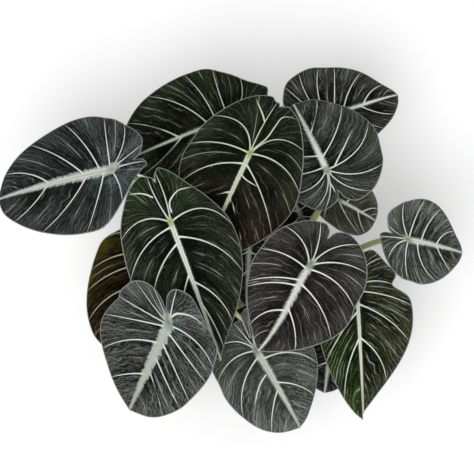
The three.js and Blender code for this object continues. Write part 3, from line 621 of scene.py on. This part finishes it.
# ground and deep: the velvet's tones on its high and low parts; the dark of the low parts is partly its own
# near-black
# and partly painted shade. Tones differ from blade to blade partly as their own colour and partly as
# painted light:
# the pale greys of 01, 05, 07, 09, 10, 11 and 13 are partly painted sheen, the darker tones of 02 and 15
# partly
# painted shade. patch: its tone on the side that patchAt points to, the blade's own tint, except on 01,
# where the paler grey towards the rear is painted sheen.
looks = {
    "01": dict(ground=(63, 68, 67), deep=(8, 11, 10), patch=(86, 94, 92), patchAt=(-0.9, 0, 0.1), net=0.38,
        vein=(236, 240, 232), rib=1.25, dimmer=22, joint=(176, 190, 164), jointSheen=0.9, spikes=1.5, haze=0.6,
        sheen=0.06, gloss=0.05),
    "02": dict(ground=(54, 57, 43), deep=(8, 10, 5), patch=(44, 54, 34), patchAt=(-0.4, -0.8, 0.3),
        net=0.35, netGap=7.0, furrowReliefAndShade=0.4, vein=(214, 220, 204), rib=0.65, core=0.1, spikes=0.5,
        gloss=0.01),
    "03": dict(ground=(48, 52, 37), deep=(8, 10, 5), patch=(60, 45, 36), patchAt=(0.9, 0.1, 0.4), net=0.22,
        netGap=7.0, furrowReliefAndShade=0.25, vein=(222, 228, 200), spikes=0.4, haze=0.15),
    "04": dict(ground=(55, 60, 47), deep=(8, 10, 6), patch=(44, 66, 26), patchAt=(-1.0, 0, 0.2), net=0.35,
        netGap=6.0, vein=(232, 237, 225), spikes=0.4, haze=0.15),
    "05": dict(ground=(92, 94, 91), deep=(10, 12, 10), patch=(108, 112, 110), patchAt=(-0.9, 0.2, 0.3),
        net=0.5, furrowReliefAndShade=0.85, vein=(230, 234, 227), rib=1.1, dimmer=42, joint=(150, 166, 150), jointSheen=0.35,
        spikes=1.9, haze=0.75, sheen=0.03, gloss=0.05),
    "06": dict(ground=(50, 39, 17), deep=(10, 8, 3), patch=(84, 84, 22), patchAt=(-0.2, -1.0, 0.72),
        net=0.15, netGap=7.0, furrowReliefAndShade=0.8, vein=(196, 198, 172), spikes=0.5, haze=0.2, gloss=0.01),
    "07": dict(ground=(68, 65, 62), deep=(14, 13, 12), patch=(82, 83, 82), patchAt=(-0.9, 0, 0.2),
        furrowReliefAndShade=0.4, vein=(238, 240, 234), rib=0.85, dimmer=10, joint=(150, 158, 128), spikes=1.1, haze=0.6,
        sheen=0.04, gloss=0.03),
    "08": dict(ground=(70, 71, 67), deep=(6, 6, 5), patch=(84, 86, 82), patchAt=(0.6, 0.6, 0.4), net=0.5,
        vein=(246, 248, 242), rib=0.85, core=0.1, spikes=0.7, haze=0.4, sheen=0.03),
    "09": dict(ground=(94, 99, 92), deep=(10, 11, 9), patch=(86, 91, 84), patchAt=(0, -0.8, 0.3), net=0.6,
        vein=(252, 254, 248), core=0.2, joint=(172, 180, 158), spikes=0.9, haze=0.6, sheen=0.05,
        gloss=0.04),
    "10": dict(ground=(112, 114, 98), deep=(56, 58, 46), patch=(116, 118, 102), net=0.5, furrowReliefAndShade=0.4,
        vein=(252, 254, 248), rib=1.8, core=0.0, spikes=0.4, haze=0.3, sheen=0.05, gloss=0.04),
    "11": dict(ground=(106, 108, 102), deep=(26, 28, 23), patch=(112, 114, 108), patchAt=(0.8, 0.4, 0.3),
        net=1.0, furrowReliefAndShade=0.8, vein=(240, 243, 236), rib=1.5, dimmer=8, joint=(170, 180, 130), spikes=0.9,
        sheen=0.06, gloss=0.05),
    "12": dict(ground=(70, 74, 50), deep=(8, 10, 5), patch=(50, 76, 18), patchAt=(0.2, -0.8, 0.2), net=1.0,
        furrowReliefAndShade=0.7, vein=(232, 237, 220), rib=0.8, spikes=0.3, haze=0.15, sheen=0.02),
    "13": dict(ground=(112, 114, 108), deep=(44, 46, 40), patch=(118, 121, 115), patchAt=(0.3, 0.3, 0.5),
        net=0.7, furrowReliefAndShade=0.8, vein=(238, 242, 234), rib=1.35, dimmer=30, joint=(150, 164, 112), spikes=0.8,
        sheen=0.06, gloss=0.05),
    "14": dict(ground=(62, 63, 57), deep=(12, 12, 10), patch=(70, 72, 66), furrowReliefAndShade=0.7, sheen=0.02),
    "15": dict(ground=(50, 54, 44), deep=(9, 10, 7), patch=(54, 60, 48), furrowReliefAndShade=0.7, sheen=0.02),
    "16": dict(ground=(42, 45, 38), deep=(8, 9, 7), patch=(46, 50, 42), net=0.3, furrowReliefAndShade=0.7),
}


def band(gap, half, outside, inside):  # 1 within half of a line, with soft sides
    return fade(gap, half + outside, half - inside)


def veinLines(rimMm, spacing, wander, bend, out, doubled):
    # Wavy lines that run with the main veins, spacing mm apart at the margin: 0 on a line, 1 half way
    # to the next. Every second line starts only where out passes doubled.
    phase = (wander * bend + rimMm) / spacing
    wide, narrow = (maths("PINGPONG", phase, half) * 2.0 for half in (1.0, 0.5))
    return addNode("ShaderNodeMix", {0: fade(out, doubled - 0.12, doubled + 0.12), 2: wide, 3: narrow})


def velvetMaterial(name, leaf, look, seed):
    material, tree, shader = newMaterial(name)
    flat = attribute(tree, "flat")
    along, across, under = split(flat)
    rimMm, outMm, out = split(attribute(tree, "place"))
    veinGap, minorGap, edgeGap = split(attribute(tree, "gaps"))
    patches = cloud(flat, 0.06, 3.0, 0.6, seed + 5)
    grain = cloud(flat, 0.85, 2.0, 0.7, seed + 9)
    ragged = cloud(stretched(flat, 1.5, 0.35), 1.0, 3.0, 0.7, seed + 11)
    toJoint = vectorMaths("LENGTH", join(along, across), output="Value")

    # The fine veins and the furrows between them. The furrows are bumped, and painted shade darkens them
    # while painted light brightens the ridges.
    bends = split(cloud(flat, 0.11, 1.0, 0.5, seed).output("Color"))
    wiggle = cloud(flat, 0.35, 1.0, 0.5, seed + 2)
    shifted = bends[2] * 0.7 + out - 0.35
    net = veinLines(rimMm, look["netGap"], wiggle * 0.14 + bends[0], look["netBend"], shifted, 0.5)
    netLine = fade(net * fade(out, 0.1, 0.7, 0.4), 0.18, 0.05)
    furrow = veinLines(rimMm, look["furrowGap"], wiggle * 0.3 + bends[1], look["furrowBend"], shifted, 0.42)
    depth = fade(cloud(flat, 0.12, 2.0, 0.5, seed + 6), 0.3, 0.6, 0.35) * fade(out, 0.03, 0.25)
    # painted shade in the furrows and painted light on the ridges; the same ridge also makes the bump
    ridge = (fade(furrow, 0.05, 0.95) - 0.5) * depth * look["furrowReliefAndShade"] + 0.5

    # The velvet itself: its own tones, with painted sheen and painted shade in them.
    lengthwise, sideways, kept = look["patchAt"]
    width = (leaf["left"]["width"] + leaf["right"]["width"]) / 2
    lean = along * (lengthwise / leaf["length"]) + across * (sideways / width) + patches * 0.8 - 0.4
    tone = blend(fade(lean, kept - 0.35, kept + 0.35), look["ground"], look["patch"])
    # painted sheen: the velvet is painted paler and bluer towards the joint
    tone = blend(fade(toJoint, look["jointSheenReach"], 3.0) * look["jointSheen"], tone, look["jointSheenTone"])
    # painted shade beside the main veins and painted light half way between them, where the blade bulges
    quilt = veinGap / (veinGap + minorGap + 0.5)
    texture = ridge * 0.75 + (quilt - 0.5) * 0.4 + fade(out, 0.1, 0.95, -0.2, 0.25)
    texture = texture + (patches - 0.5) * look["mottle"] + (grain - 0.5) * look["grain"]
    texture = ramp(texture, -0.05, 0.95)
    # the low parts take the deep tone: the velvet's own near-black, and painted shade
    ground = blend(maths("POWER", texture, look["texture"]), look["deep"], tone)
    presence = fade(cloud(flat, 0.09, 3.0, 0.55, seed + 3), 0.36, 0.6)
    ground = blend(netLine * presence * fade(out, 0.08, 0.3) * look["net"], ground, look["netTone"])

    # Minor veins half way between the main ones, only some of them and never whole.
    presence = fade(cloud(join(rimMm * 0.12, outMm * 0.05), 1.0, 1.0, 0.5, seed + 7), 0.45, 0.6)
    minor = fade(minorGap, 0.42, 0.08) * fade(out, 0.12, 0.35) * presence * look["minor"]

    # Main veins with their forks.
    veinHalf = fade(out, 0.0, 0.95, look["veinHalf"], look["veinEnd"]) + ragged * 0.5 - 0.25
    veinHalf = veinHalf + fade(out, 0.16, 0.0, 0.0, 0.3)
    main = band(veinGap, veinHalf, 0.25, 0.2) * fade(out, 0.8, 0.99, 1.0, 0.35)
    for label, _ in zip(forkNames, leaf.get("forks", [])):
        beside, way, _ = split(attribute(tree, label))
        forkHalf = fade(way, 0.0, 1.0, 0.5, 0.26) + ragged * 0.4 - 0.2
        fork = band(maths("ABSOLUTE", beside), forkHalf, 0.25, 0.2)
        main = greatest(main, fork * fade(way, -0.05, 0.02) * fade(way, 1.04, 0.7))

    # The midrib with its ragged sides, and the joint.
    ribGap = vectorMaths("LENGTH", join(maths("MINIMUM", along, 0.0) * 0.5, across), output="Value")
    ribSize = look["ribHalf"] * look["rib"] * min(1, leaf["length"] / 80)
    toTip = maths("POWER", ramp(along, leaf["length"], 0.0), 0.8)
    ribHalf = toTip * (ribSize - look["ribTip"]) + look["ribTip"]
    slant = along - maths("ABSOLUTE", across) * 0.5
    barbs = cloud(join(slant, maths("SIGN", across) * 9.0), 0.75, 2.0, 0.6, seed + 12)
    barbs = fade(barbs, 0.42, 0.66) * ribHalf * look["spikes"]
    rib = band(ribGap, ragged * 0.6 + ribHalf + barbs * 0.45 - 0.4, 0.35, 0.35)
    streaks = cloud(join(slant * 0.5, across * 0.14), 1.0, 3.0, 0.6, seed + 14)
    reach = fade(streaks, 0.25, 0.7, 0.2) * fade(toTip, 0.0, 0.8, 0.1) * (look["feather"] * look["spikes"])
    reach = reach + ribHalf
    pale = greatest(main, rib, minor, band(ribGap, reach, 1.0, 1.0) * look["haze"])
    ribTone = tuple(part - look["dimmer"] for part in look["vein"])
    veinTone = blend(fade(ribGap, reach + 1.0, ribHalf), look["vein"], ribTone)
    veinTone = blend(fade(toJoint, look["jointReach"], 1.2), veinTone, look["joint"])
    core = fade(ribGap, ribHalf * 0.6, ribHalf * 0.15) * fade(ragged, 0.3, 0.6) * look["core"]
    upper = blend(pale, ground, blend(core, veinTone, look["coreTone"]))

    # The pale rim, the dots, and the smooth underside with its raised, paler veins.
    upper = blend(fade(edgeGap, look["rimWidth"], 0.3) * 0.85, upper, look["rimTone"])
    dots = dotted(flat, look["dotScale"])
    chosen = fade(split(dots.output("Color"))[0], 0.7, 0.8)
    upper = blend(fade(dots, 0.13, 0.07) * chosen * 0.3, upper, look["dotTone"])
    lower = blend(fade(patches, 0.3, 0.7), look["undersideDeep"], look["undersideTone"])
    lower = blend(greatest(main, rib, netLine * 0.25), lower, look["undersideVein"])
    isUnder = fade(under, 0.4, 0.6)
    sheen = {"Weight": look["sheen"], "Roughness": look["sheenRoughness"], "Tint": look["sheenTint"]}
    connect(shader, {"Sheen " + key: value for key, value in sheen.items()})
    paint(shader, blend(isUnder, upper, lower), pale * -0.16 + isUnder * -0.12 + look["roughness"],
          ridge * 0.6 + netLine * 0.25 + grain * 0.3, look["relief"], 0.8, look["gloss"])
    return material


for number, (label, leaf) in enumerate(leaves.items()):
    skin = velvetMaterial("velvet" + label, leaf, {**velvet, **looks[label]}, 13.0 * number)
    settle(makeBlade("velvetBlade" + label, leaf, skin), "blade", "blade_" + label)
print("blades:", len(leaves))


crownPlan = dict(radius=17, domeCentre=93, foot=58, footRadius=11, taper=23, facets=72,
                 ringDepth=0.22, ringsPerMm=2.2,  # old leaf scars
                 dark=(78, 60, 44), light=(126, 104, 78), fibre=(52, 38, 30))
petiolePlan = dict(
    baseRadius=3.1, midRadius=2.1, midAt=0.83, endRadius=2.1,  # from the crown to the joint
    baseFlare=0.9, endFlare=0.5, endTaper=0.0,  # the sheath at the crown and the swelling at the joint
    sag=0.3, rise=0.12,  # how far its handles reach, as shares of the way, and how steeply it starts
    overrun=1.6,  # how far the stem runs on before it is cut flush under the blade
    rooted=1.2,  # how deep its foot stands in the crown
    cutGap=0.1,  # between the cut and the blade
    meet=(0.78, 0.62),  # how it meets the blade: square to it, and along it
    sides=16, steps=48, ring=2.5,  # how wide the skin's pattern is laid round it
    tone=(184, 190, 122), pale=(200, 206, 150), base=(132, 110, 92), fleck=(96, 72, 62),
    earthy=0.8, earthReach=34.0,  # how brown it is at the foot, and how far up
)
spearPlan = dict(
    footAt=(236, 30), handle=60,  # how far it rises before it turns to its crest and down to its tip
    crest=(-42, -34, 224), tip=(-17, -58, 208),
    baseRadius=2.72, midRadius=3.2, midAt=0.6, endRadius=1.44, baseFlare=0.9, endFlare=0.0, endTaper=0.7,
    sides=18, steps=60, tone=(170, 184, 118), earthy=0.3,
)


def makeStemTree():  # its sizes are in millimetres
    tree, given = newTree(
        "growStem", Vector="foot footHandle endHandle end cutPoint cutNormal", Int="sides steps",
        Float="baseRadius midRadius midAt endRadius baseFlare endFlare endTaper", Material="material")
    path = addNode("GeometryNodeCurvePrimitiveBezierSegment", {
        "Resolution": 64, "Start": given.foot, "Start Handle": given.footHandle,
        "End Handle": given.endHandle, "End": given.end}, mode="POSITION")
    path = addNode("GeometryNodeResampleCurve", {"Curve": path, "Count": given.steps})
    way = addNode("GeometryNodeSplineParameter", {}, "Factor", tree)
    radius = given.baseRadius + ramp(way, 0.0, given.midAt) * (given.midRadius - given.baseRadius)
    radius = radius + ramp(way, given.midAt, 1.0) * (given.endRadius - given.midRadius)
    radius = radius + fade(way, 0.09, 0.0) * given.baseFlare + fade(way, 0.93, 1.0) * given.endFlare
    radius = radius * (1.0 - fade(way, 0.955, 1.0) * given.endTaper)
    path = store(path, "reach", way.output("Length"), "FLOAT")
    ring = addNode("GeometryNodeCurvePrimitiveCircle", {"Resolution": given.sides, "Radius": 1.0})
    place = addNode("GeometryNodeInputPosition", {}, tree=tree)
    ring = store(ring, "spoke", place, "FLOAT_VECTOR")
    stem = addNode("GeometryNodeCurveToMesh", {
        "Curve": path, "Profile Curve": ring, "Scale": radius, "Fill Caps": True})
    fromCut = vectorMaths("SUBTRACT", place, given.cutPoint)
    above = greatest(vectorMaths("DOT_PRODUCT", fromCut, given.cutNormal, output="Value"), 0.0)
    push = vectorMaths("SCALE", given.cutNormal, Scale=above * -1.0)
    stem = addNode("GeometryNodeSetPosition", {0: stem, "Offset": push})  # flush with the cut
    stem = addNode("GeometryNodeTransform", {0: stem, "Scale": (mm, mm, mm)})
    return finishTree(tree, stem, given.material)


def crownFoot(azimuth, tilt):  # where a stem leaves the crown, and which way
    turn = Matrix.Rotation(math.radians(azimuth), 3, "Z") @ Matrix.Rotation(math.radians(tilt), 3, "Y")
    direction = turn @ Vector((0, 0, 1))
    centre = Vector((0, 0, crownPlan["domeCentre"]))
    return centre + direction * (crownPlan["radius"] - petiolePlan["rooted"]), direction


def stemMaterial(name, plan):
    material, tree, shader = newMaterial(name)
    reach = attribute(tree, "reach", "Fac")
    x, y, _ = split(attribute(tree, "spoke"))
    place = join(x * petiolePlan["ring"], y * petiolePlan["ring"], reach)
    streak = cloud(stretched(place, 1.6, 1.6, 0.06), 1.0, 3.0, 0.6)
    mottle = cloud(place, 0.25, 3.0, 0.6, 4.0)
    nearBase = fade(reach, petiolePlan["earthReach"], 2.0) * plan["earthy"]
    colour = blend(fade(streak, 0.35, 0.65), plan["tone"], petiolePlan["pale"])
    colour = blend(fade(mottle, 0.5, 0.75) * 0.35, colour, petiolePlan["tone"])
    colour = blend(nearBase, colour, petiolePlan["base"])
    fleck = fade(dotted(stretched(place, 1, 1, 0.3), 0.9), 0.2, 0.08) * (nearBase * 0.5 + 0.12)
    paint(shader, blend(fleck, colour, petiolePlan["fleck"]), streak * 0.2 + 0.32, streak, 0.25, 0.6, 0.4)
    return material


stemTree = makeStemTree()
petioleSkin = stemMaterial("petioleSkin", petiolePlan)
spearSkin = stemMaterial("spearSkin", spearPlan)
for label, leaf in leaves.items():
    foot, direction = crownFoot(*leaf["foot"])
    under = bladePoint(leaf, 0, 0, -bladePlan["halfThickness"] - petiolePlan["cutGap"])
    normal = bladePoint(leaf, 0, 0, 1) - bladePoint(leaf, 0, 0, 0)
    ahead = bladePoint(leaf, 1, 0, 0) - bladePoint(leaf, 0, 0, 0)
    reach = (foot - under).length
    handle = direction * petiolePlan["sag"] + Vector((0, 0, petiolePlan["rise"]))
    square, forward = petiolePlan["meet"]
    arrival = (normal * square + ahead * forward).normalized() * petiolePlan["sag"] * reach
    endHandle = Vector(leaf["via"]) if "via" in leaf else under - arrival
    end = under + (under - endHandle).normalized() * petiolePlan["overrun"]
    stem = runTree("petioleStem" + label, stemTree, foot=foot, footHandle=foot + handle * reach,
                   endHandle=endHandle, end=end, cutPoint=under, cutNormal=normal, material=petioleSkin,
                   **petiolePlan)
    settle(stem, "petiole", "petiole_" + label)

foot, direction = crownFoot(*spearPlan["footAt"])
spear = runTree("rolledLeaf", stemTree, foot=foot, footHandle=foot + direction * spearPlan["handle"],
                endHandle=spearPlan["crest"], end=spearPlan["tip"], cutPoint=(0, 0, 10000),
                cutNormal=(0, 0, 1), material=spearSkin, **spearPlan)
settle(spear, "petiole", "spear")
print("petioles:", len(leaves), "and one rolled leaf")


def turned(name, profile, facets, material):  # a profile of (radius, height) points turned round Z
    build = bmesh.new()
    angles = [2 * math.pi * i / facets for i in range(facets)]
    rings = [[build.verts.new((radius * math.cos(angle) * mm, radius * math.sin(angle) * mm, height * mm))
              for angle in (angles if radius else angles[:1])] for radius, height in profile]
    for lower, upper in zip(rings, rings[1:]):
        for i in range(facets):
            places = (lower, i), (lower, i + 1), (upper, i + 1), (upper, i)
            face = build.faces.new(list(dict.fromkeys(ring[k % facets % len(ring)] for ring, k in places)))
            face.smooth = True
    return addPiece(name, meshFrom(build, name), material)


potPlan = dict(height=105, rimRadius=60, rimHeight=14, rimOverhang=2.5, baseRadius=42, wall=1.8, floor=2.4,
               footBevel=2, lipRadius=1, drainRadius=3.5, drainRing=27, drainCount=6, facets=144,
               dark=(36, 36, 37), light=(48, 48, 49), dust=(88, 85, 80), splash=(96, 84, 72), relief=0.12,
               roughness=0.38, gloss=0.45)


def potRadius(height):
    top = potPlan["rimRadius"] - potPlan["rimOverhang"]
    return mix(potPlan["baseRadius"], top, height / potPlan["height"])


def potMaterial():
    material, tree, shader = newMaterial("potPlastic")
    place = objectPlace(tree)
    broad = cloud(place, 18.0, 4.0, 0.6)
    grain = cloud(place, 900.0, 3.0, 0.6, 2.0)
    scuffs = cloud(stretched(place, 1, 1, 6), 60.0, 4.0, 0.7, 3.0)
    dust = fade(scuffs, 0.52, 0.72) * 0.3
    splash = fade(split(place)[2], 0.03, 0.0) * fade(broad, 0.45, 0.65) * 0.35
    colour = blend(fade(broad, 0.3, 0.7), potPlan["dark"], potPlan["light"])
    colour = blend(dust, colour, potPlan["dust"])
    roughness = broad * 0.16 + dust * 0.5 + potPlan["roughness"]
    colour = blend(splash, colour, potPlan["splash"])
    paint(shader, colour, roughness, grain, potPlan["relief"], 0.5, potPlan["gloss"])
    return material


def makePot():
    plan = potPlan
    names = ("baseRadius", "rimRadius", "height", "footBevel", "lipRadius")
    base, rim, height, bevel, lip = (plan[name] for name in names)
    rimFoot = height - plan["rimHeight"]
    quarter = np.linspace(0, math.pi / 2, 6)
    foot = [(base - bevel * (1 - math.sin(a)), bevel * (1 - math.cos(a))) for a in quarter[:-1]]
    outer = [(potRadius(z), z) for z in np.linspace(bevel, rimFoot - 0.8, 14)]
    skirt = [(potRadius(rimFoot) + 0.4, rimFoot), (rim - 1.2, rimFoot), (rim - 0.6, rimFoot + 0.5)]
    edge = [(rim - lip + lip * math.cos(a), height - lip + lip * math.sin(a)) for a in quarter]
    inside = [(potRadius(z) - plan["wall"], z) for z in (height, 96, 60, 20, plan["floor"])]
    profile = [(0, 0), (base * 0.8, 0), *foot, *outer, *skirt, *edge, *inside, (0, plan["floor"])]
    return turned("potShell", profile, plan["facets"], potMaterial())


def drillDrains(pot):
    build = bmesh.new()
    for i in range(potPlan["drainCount"]):
        turn = 2 * math.pi * i / potPlan["drainCount"]
        place = Vector((math.cos(turn), math.sin(turn), 0)) * potPlan["drainRing"] * mm
        radius = potPlan["drainRadius"] * mm
        bmesh.ops.create_cone(build, cap_ends=True, segments=32, radius1=radius, radius2=radius,
                              depth=4 * potPlan["floor"] * mm, matrix=Matrix.Translation(place))
    drains = addPiece("drains", meshFrom(build, "drains"))
    drill = pot.modifiers.new("drill", "BOOLEAN")
    drill.operation, drill.solver, drill.object = "DIFFERENCE", "EXACT", drains
    pot.data = plainMesh(pot)
    bpy.data.objects.remove(drains)


pot = makePot()
drillDrains(pot)
settle(pot, "pot", "pot")
print("pot with", potPlan["drainCount"], "drain holes")

soilPlan = dict(gap=0.3, edgeLevel=93, moundLevel=97, facets=96,
                lumps=((160, 1.1), (420, 0.6)),  # how closely the lumps in it lie, and how high they stand
                dark=(26, 20, 16), light=(62, 48, 38), grain=260.0)


def soilMaterial(name, bits):
    material, tree, shader = newMaterial(name)
    dark, light, grain = bits["dark"], bits["light"], bits["grain"]
    place = objectPlace(tree)
    lumps = cloud(place, grain, 5.0, 0.65)
    specks = cloud(place, grain * 5, 3.0, 0.6, 6.0)
    colour = blend(fade(lumps, 0.32, 0.68), dark, light)
    colour = blend(fade(specks, 0.55, 0.7) * 0.4, colour, tuple(min(255, 1.6 * part) for part in light))
    paint(shader, colour, specks * 0.2 + 0.75, lumps * 0.7 + specks * 0.3, 0.8, 0.9, 0.25)
    return material


def makeSoil():
    plan = soilPlan
    hole = crownPlan["radius"] + plan["gap"]
    inside = [(potRadius(z) - potPlan["wall"] - plan["gap"], z)
              for z in (potPlan["floor"] + plan["gap"], 40, 70, plan["edgeLevel"])]
    edge, top = inside[-1][0], plan["moundLevel"]
    mound = [(mix(edge, hole, share), mix(plan["edgeLevel"], top, 1 - (1 - share) ** 1.6))
             for share in np.linspace(0, 1, 22)[1:]]
    floor = crownPlan["foot"] - plan["gap"]
    profile = [(0, inside[0][1]), *inside, *mound, (hole, 80), (hole, floor), (0, floor)]
    soil = turned("pottingMix", profile, plan["facets"], soilMaterial("mixEarth", soilPlan))
    for vertex in soil.data.vertices:
        radius = math.hypot(vertex.co.x, vertex.co.y) / mm
        if vertex.co.z > (plan["edgeLevel"] - 0.5) * mm and hole + 0.5 < radius < edge - 1:
            vertex.co.z += sum(noise.noise(vertex.co * scale) * size for scale, size in plan["lumps"]) * mm
    return soil


soil = makeSoil()
settle(soil, "soil", "soil")


def makeScatterTree():  # sizes in millimetres, density in pieces to a square metre
    tree, given = newTree(
        "scatterMix", Geometry="ground", Float="density size sizeSpread length flatness rough lift",
        Int="seed detail", Material="material")
    points = addNode("GeometryNodeDistributePointsOnFaces", {
        "Mesh": given.ground, "Density": given.density, "Seed": given.seed}, "Points")
    points = addNode("GeometryNodeSetPosition", {0: points, "Offset": join(0.0, 0.0, given.lift * mm)})
    lump = addNode("GeometryNodeMeshIcoSphere", {"Radius": 1.0, "Subdivisions": given.detail})
    place = addNode("GeometryNodeInputPosition", {}, tree=tree)
    rough = addNode("ShaderNodeTexNoise", {"Vector": place, "Scale": 1.3, "Detail": 2.0}, "Color")
    rough = vectorMaths("SCALE", vectorMaths("SUBTRACT", rough, (0.5, 0.5, 0.5)), Scale=given.rough)
    lump = addNode("GeometryNodeSetPosition", {0: lump, "Offset": rough})
    lump = addNode("GeometryNodeTransform", {0: lump, "Scale": join(given.length, 1.0, given.flatness)})
    turn = {0: (-0.5, -0.5, 0.0), 1: (0.5, 0.5, 6.283), "Seed": given.seed}
    turn = addNode("FunctionNodeRandomValue", turn, data_type="FLOAT_VECTOR")
    size = {2: 1.0 - given.sizeSpread, 3: 1.0, "Seed": given.seed}
    size = addNode("FunctionNodeRandomValue", size, 1, data_type="FLOAT") * given.size * mm
    bits = addNode("GeometryNodeInstanceOnPoints", {
        "Points": points, "Instance": lump, "Rotation": turn, "Scale": join(size, size, size)})
    return finishTree(tree, bits, given.material, False)


def moundSurface():  # the upper face of the mix, without the strips beside the pot and the crown
    build = bmesh.new()
    build.from_mesh(soil.data)
    level = soilPlan["edgeLevel"]
    inner, outer = (crownPlan["radius"] + 2) * mm, (potRadius(level) - potPlan["wall"] - 3.5) * mm
    away = []
    for face in build.faces:
        x, y, z = face.calc_center_median()
        if z < (level - 1.5) * mm or not inner <= math.hypot(x, y) <= outer or face.normal.z < 0.5:
            away.append(face)
    bmesh.ops.delete(build, geom=away, context="FACES")
    return meshFrom(build, "mound")


scatterTree = makeScatterTree()
mixShapes = {
    "barkChips": dict(density=16000.0, seed=3, size=3.9, sizeSpread=0.55, length=1.5, flatness=0.42,
        rough=1.1, detail=2, lift=0.8, dark=(48, 32, 24), light=(104, 74, 54), grain=420.0),
    "mixCrumbs": dict(density=130000.0, seed=8, size=1.3, sizeSpread=0.6, length=1.2, flatness=0.7,
        rough=1.0, detail=1, lift=0.3, dark=(22, 17, 14), light=(58, 44, 35), grain=700.0),
    "perliteBeads": dict(density=9000.0, seed=5, size=1.5, sizeSpread=0.45, length=1.1, flatness=0.85,
        rough=0.6, detail=2, lift=0.7, dark=(176, 172, 162), light=(222, 219, 210), grain=900.0),
}
for name, bits in mixShapes.items():
    skin = soilMaterial(name + "Skin", bits)
    scattered = runTree(name, scatterTree, moundSurface(), material=skin, **bits)
    settle(scattered, "soil")
    print(name, len(scattered.data.polygons))


def crownMaterial():
    material, tree, shader = newMaterial("crownBark")
    place = objectPlace(tree)
    rings = cloud(stretched(place, 60, 60, 420), 1.0, 4.0, 0.6)
    fibres = cloud(stretched(place, 700, 700, 90), 1.0, 3.0, 0.6, 3.0)
    colour = blend(fade(rings, 0.35, 0.65), crownPlan["dark"], crownPlan["light"])
    colour = blend(fade(fibres, 0.5, 0.7) * 0.5, colour, crownPlan["fibre"])
    paint(shader, colour, fibres * 0.2 + 0.65, rings * 0.6 + fibres * 0.4, 0.7, 0.9, 0.3)
    return material


def makeCrown():
    plan = crownPlan
    foot, radius, top = plan["foot"], plan["radius"], plan["domeCentre"]
    profile = [(0, foot)]
    profile += [(mix(plan["footRadius"], radius, (z - foot) / plan["taper"]), z)
                for z in np.linspace(foot, top - 12, 10)]
    profile += [(radius, z) for z in np.linspace(top - 10, top - 1, 8)]
    quarter = np.linspace(0, math.pi / 2, 20)[:-1]
    profile += [(radius * math.cos(a), top + radius * math.sin(a)) for a in quarter]
    crown = turned("crownStem", profile + [(0, top + radius)], plan["facets"], crownMaterial())
    for vertex in crown.data.vertices:  # old leaf scars as uneven rings
        place = vertex.co / mm
        if place.z > foot + 4:
            wobble = noise.noise(vertex.co * 90)
            ring = math.sin(plan["ringsPerMm"] * place.z + 5 * wobble) * plan["ringDepth"] + wobble * 0.5
            outward = Vector((place.x, place.y, max(0, place.z - top))).normalized()
            vertex.co += outward * (ring - 0.35) * mm
    return crown


settle(makeCrown(), "rhizome", "rhizome")
print("crown, mix and pot")


stageSetup = dict(floorSize=6.0, floorTone=(0.9, 0.9, 0.9, 1), floorDim=(0.8865, 0.8865, 0.8865, 1),
                  sky=0.78, keyPlace=(-0.17, -0.8, 1.72), keyTarget=(0, 0, 0.2), keySize=0.8, keyPower=21.0)
cameraSetup = dict(target=(-21.5, 9.7, 200), elevation=72, distance=1150, lens=116.43, sensor=36)


def makeFloor():
    material, tree, shader = newMaterial("floorPaper")
    tones = {0: cloud(objectPlace(tree), 1.2), 6: stageSetup["floorTone"], 7: stageSetup["floorDim"]}
    colour = addNode("ShaderNodeMix", tones, 2, data_type="RGBA")
    connect(shader, {"Base Color": colour, "Roughness": 0.9, "Specular IOR Level": 0.1})
    half = stageSetup["floorSize"] / 2
    mesh = bpy.data.meshes.new("floor")
    corners = [(-half, -half, 0), (half, -half, 0), (half, half, 0), (-half, half, 0)]
    mesh.from_pydata(corners, [], [(0, 1, 2, 3)])
    addPiece("floor", mesh, material)


def makeLight():
    scene.world = scene.world or bpy.data.worlds.new("studio")
    scene.world.use_nodes = True
    sky = scene.world.node_tree.nodes["Background"]
    connect(sky, {"Color": (1, 1, 1, 1), "Strength": stageSetup["sky"]})
    lamp = bpy.data.lights.new("softBox", "AREA")
    lamp.shape, lamp.size, lamp.energy = "DISK", stageSetup["keySize"], stageSetup["keyPower"]
    key = addPiece("softBox", lamp)
    key.location = stageSetup["keyPlace"]
    aim = Vector(stageSetup["keyTarget"]) - key.location
    key.rotation_euler = aim.to_track_quat("-Z", "Y").to_euler()
    scene.view_settings.view_transform = "Standard"


def makeCamera():
    elevation = math.radians(cameraSetup["elevation"])
    back = Vector((0, -math.cos(elevation), math.sin(elevation)))
    camera = addPiece("camera", bpy.data.cameras.new("camera"))
    camera.data.sensor_width, camera.data.lens = cameraSetup["sensor"], cameraSetup["lens"]
    camera.location = (Vector(cameraSetup["target"]) + back * cameraSetup["distance"]) * mm
    camera.rotation_euler = (math.pi / 2 - elevation, 0, 0)
    scene.camera = camera


makeFloor()
makeLight()
makeCamera()
print("floor, light and camera")
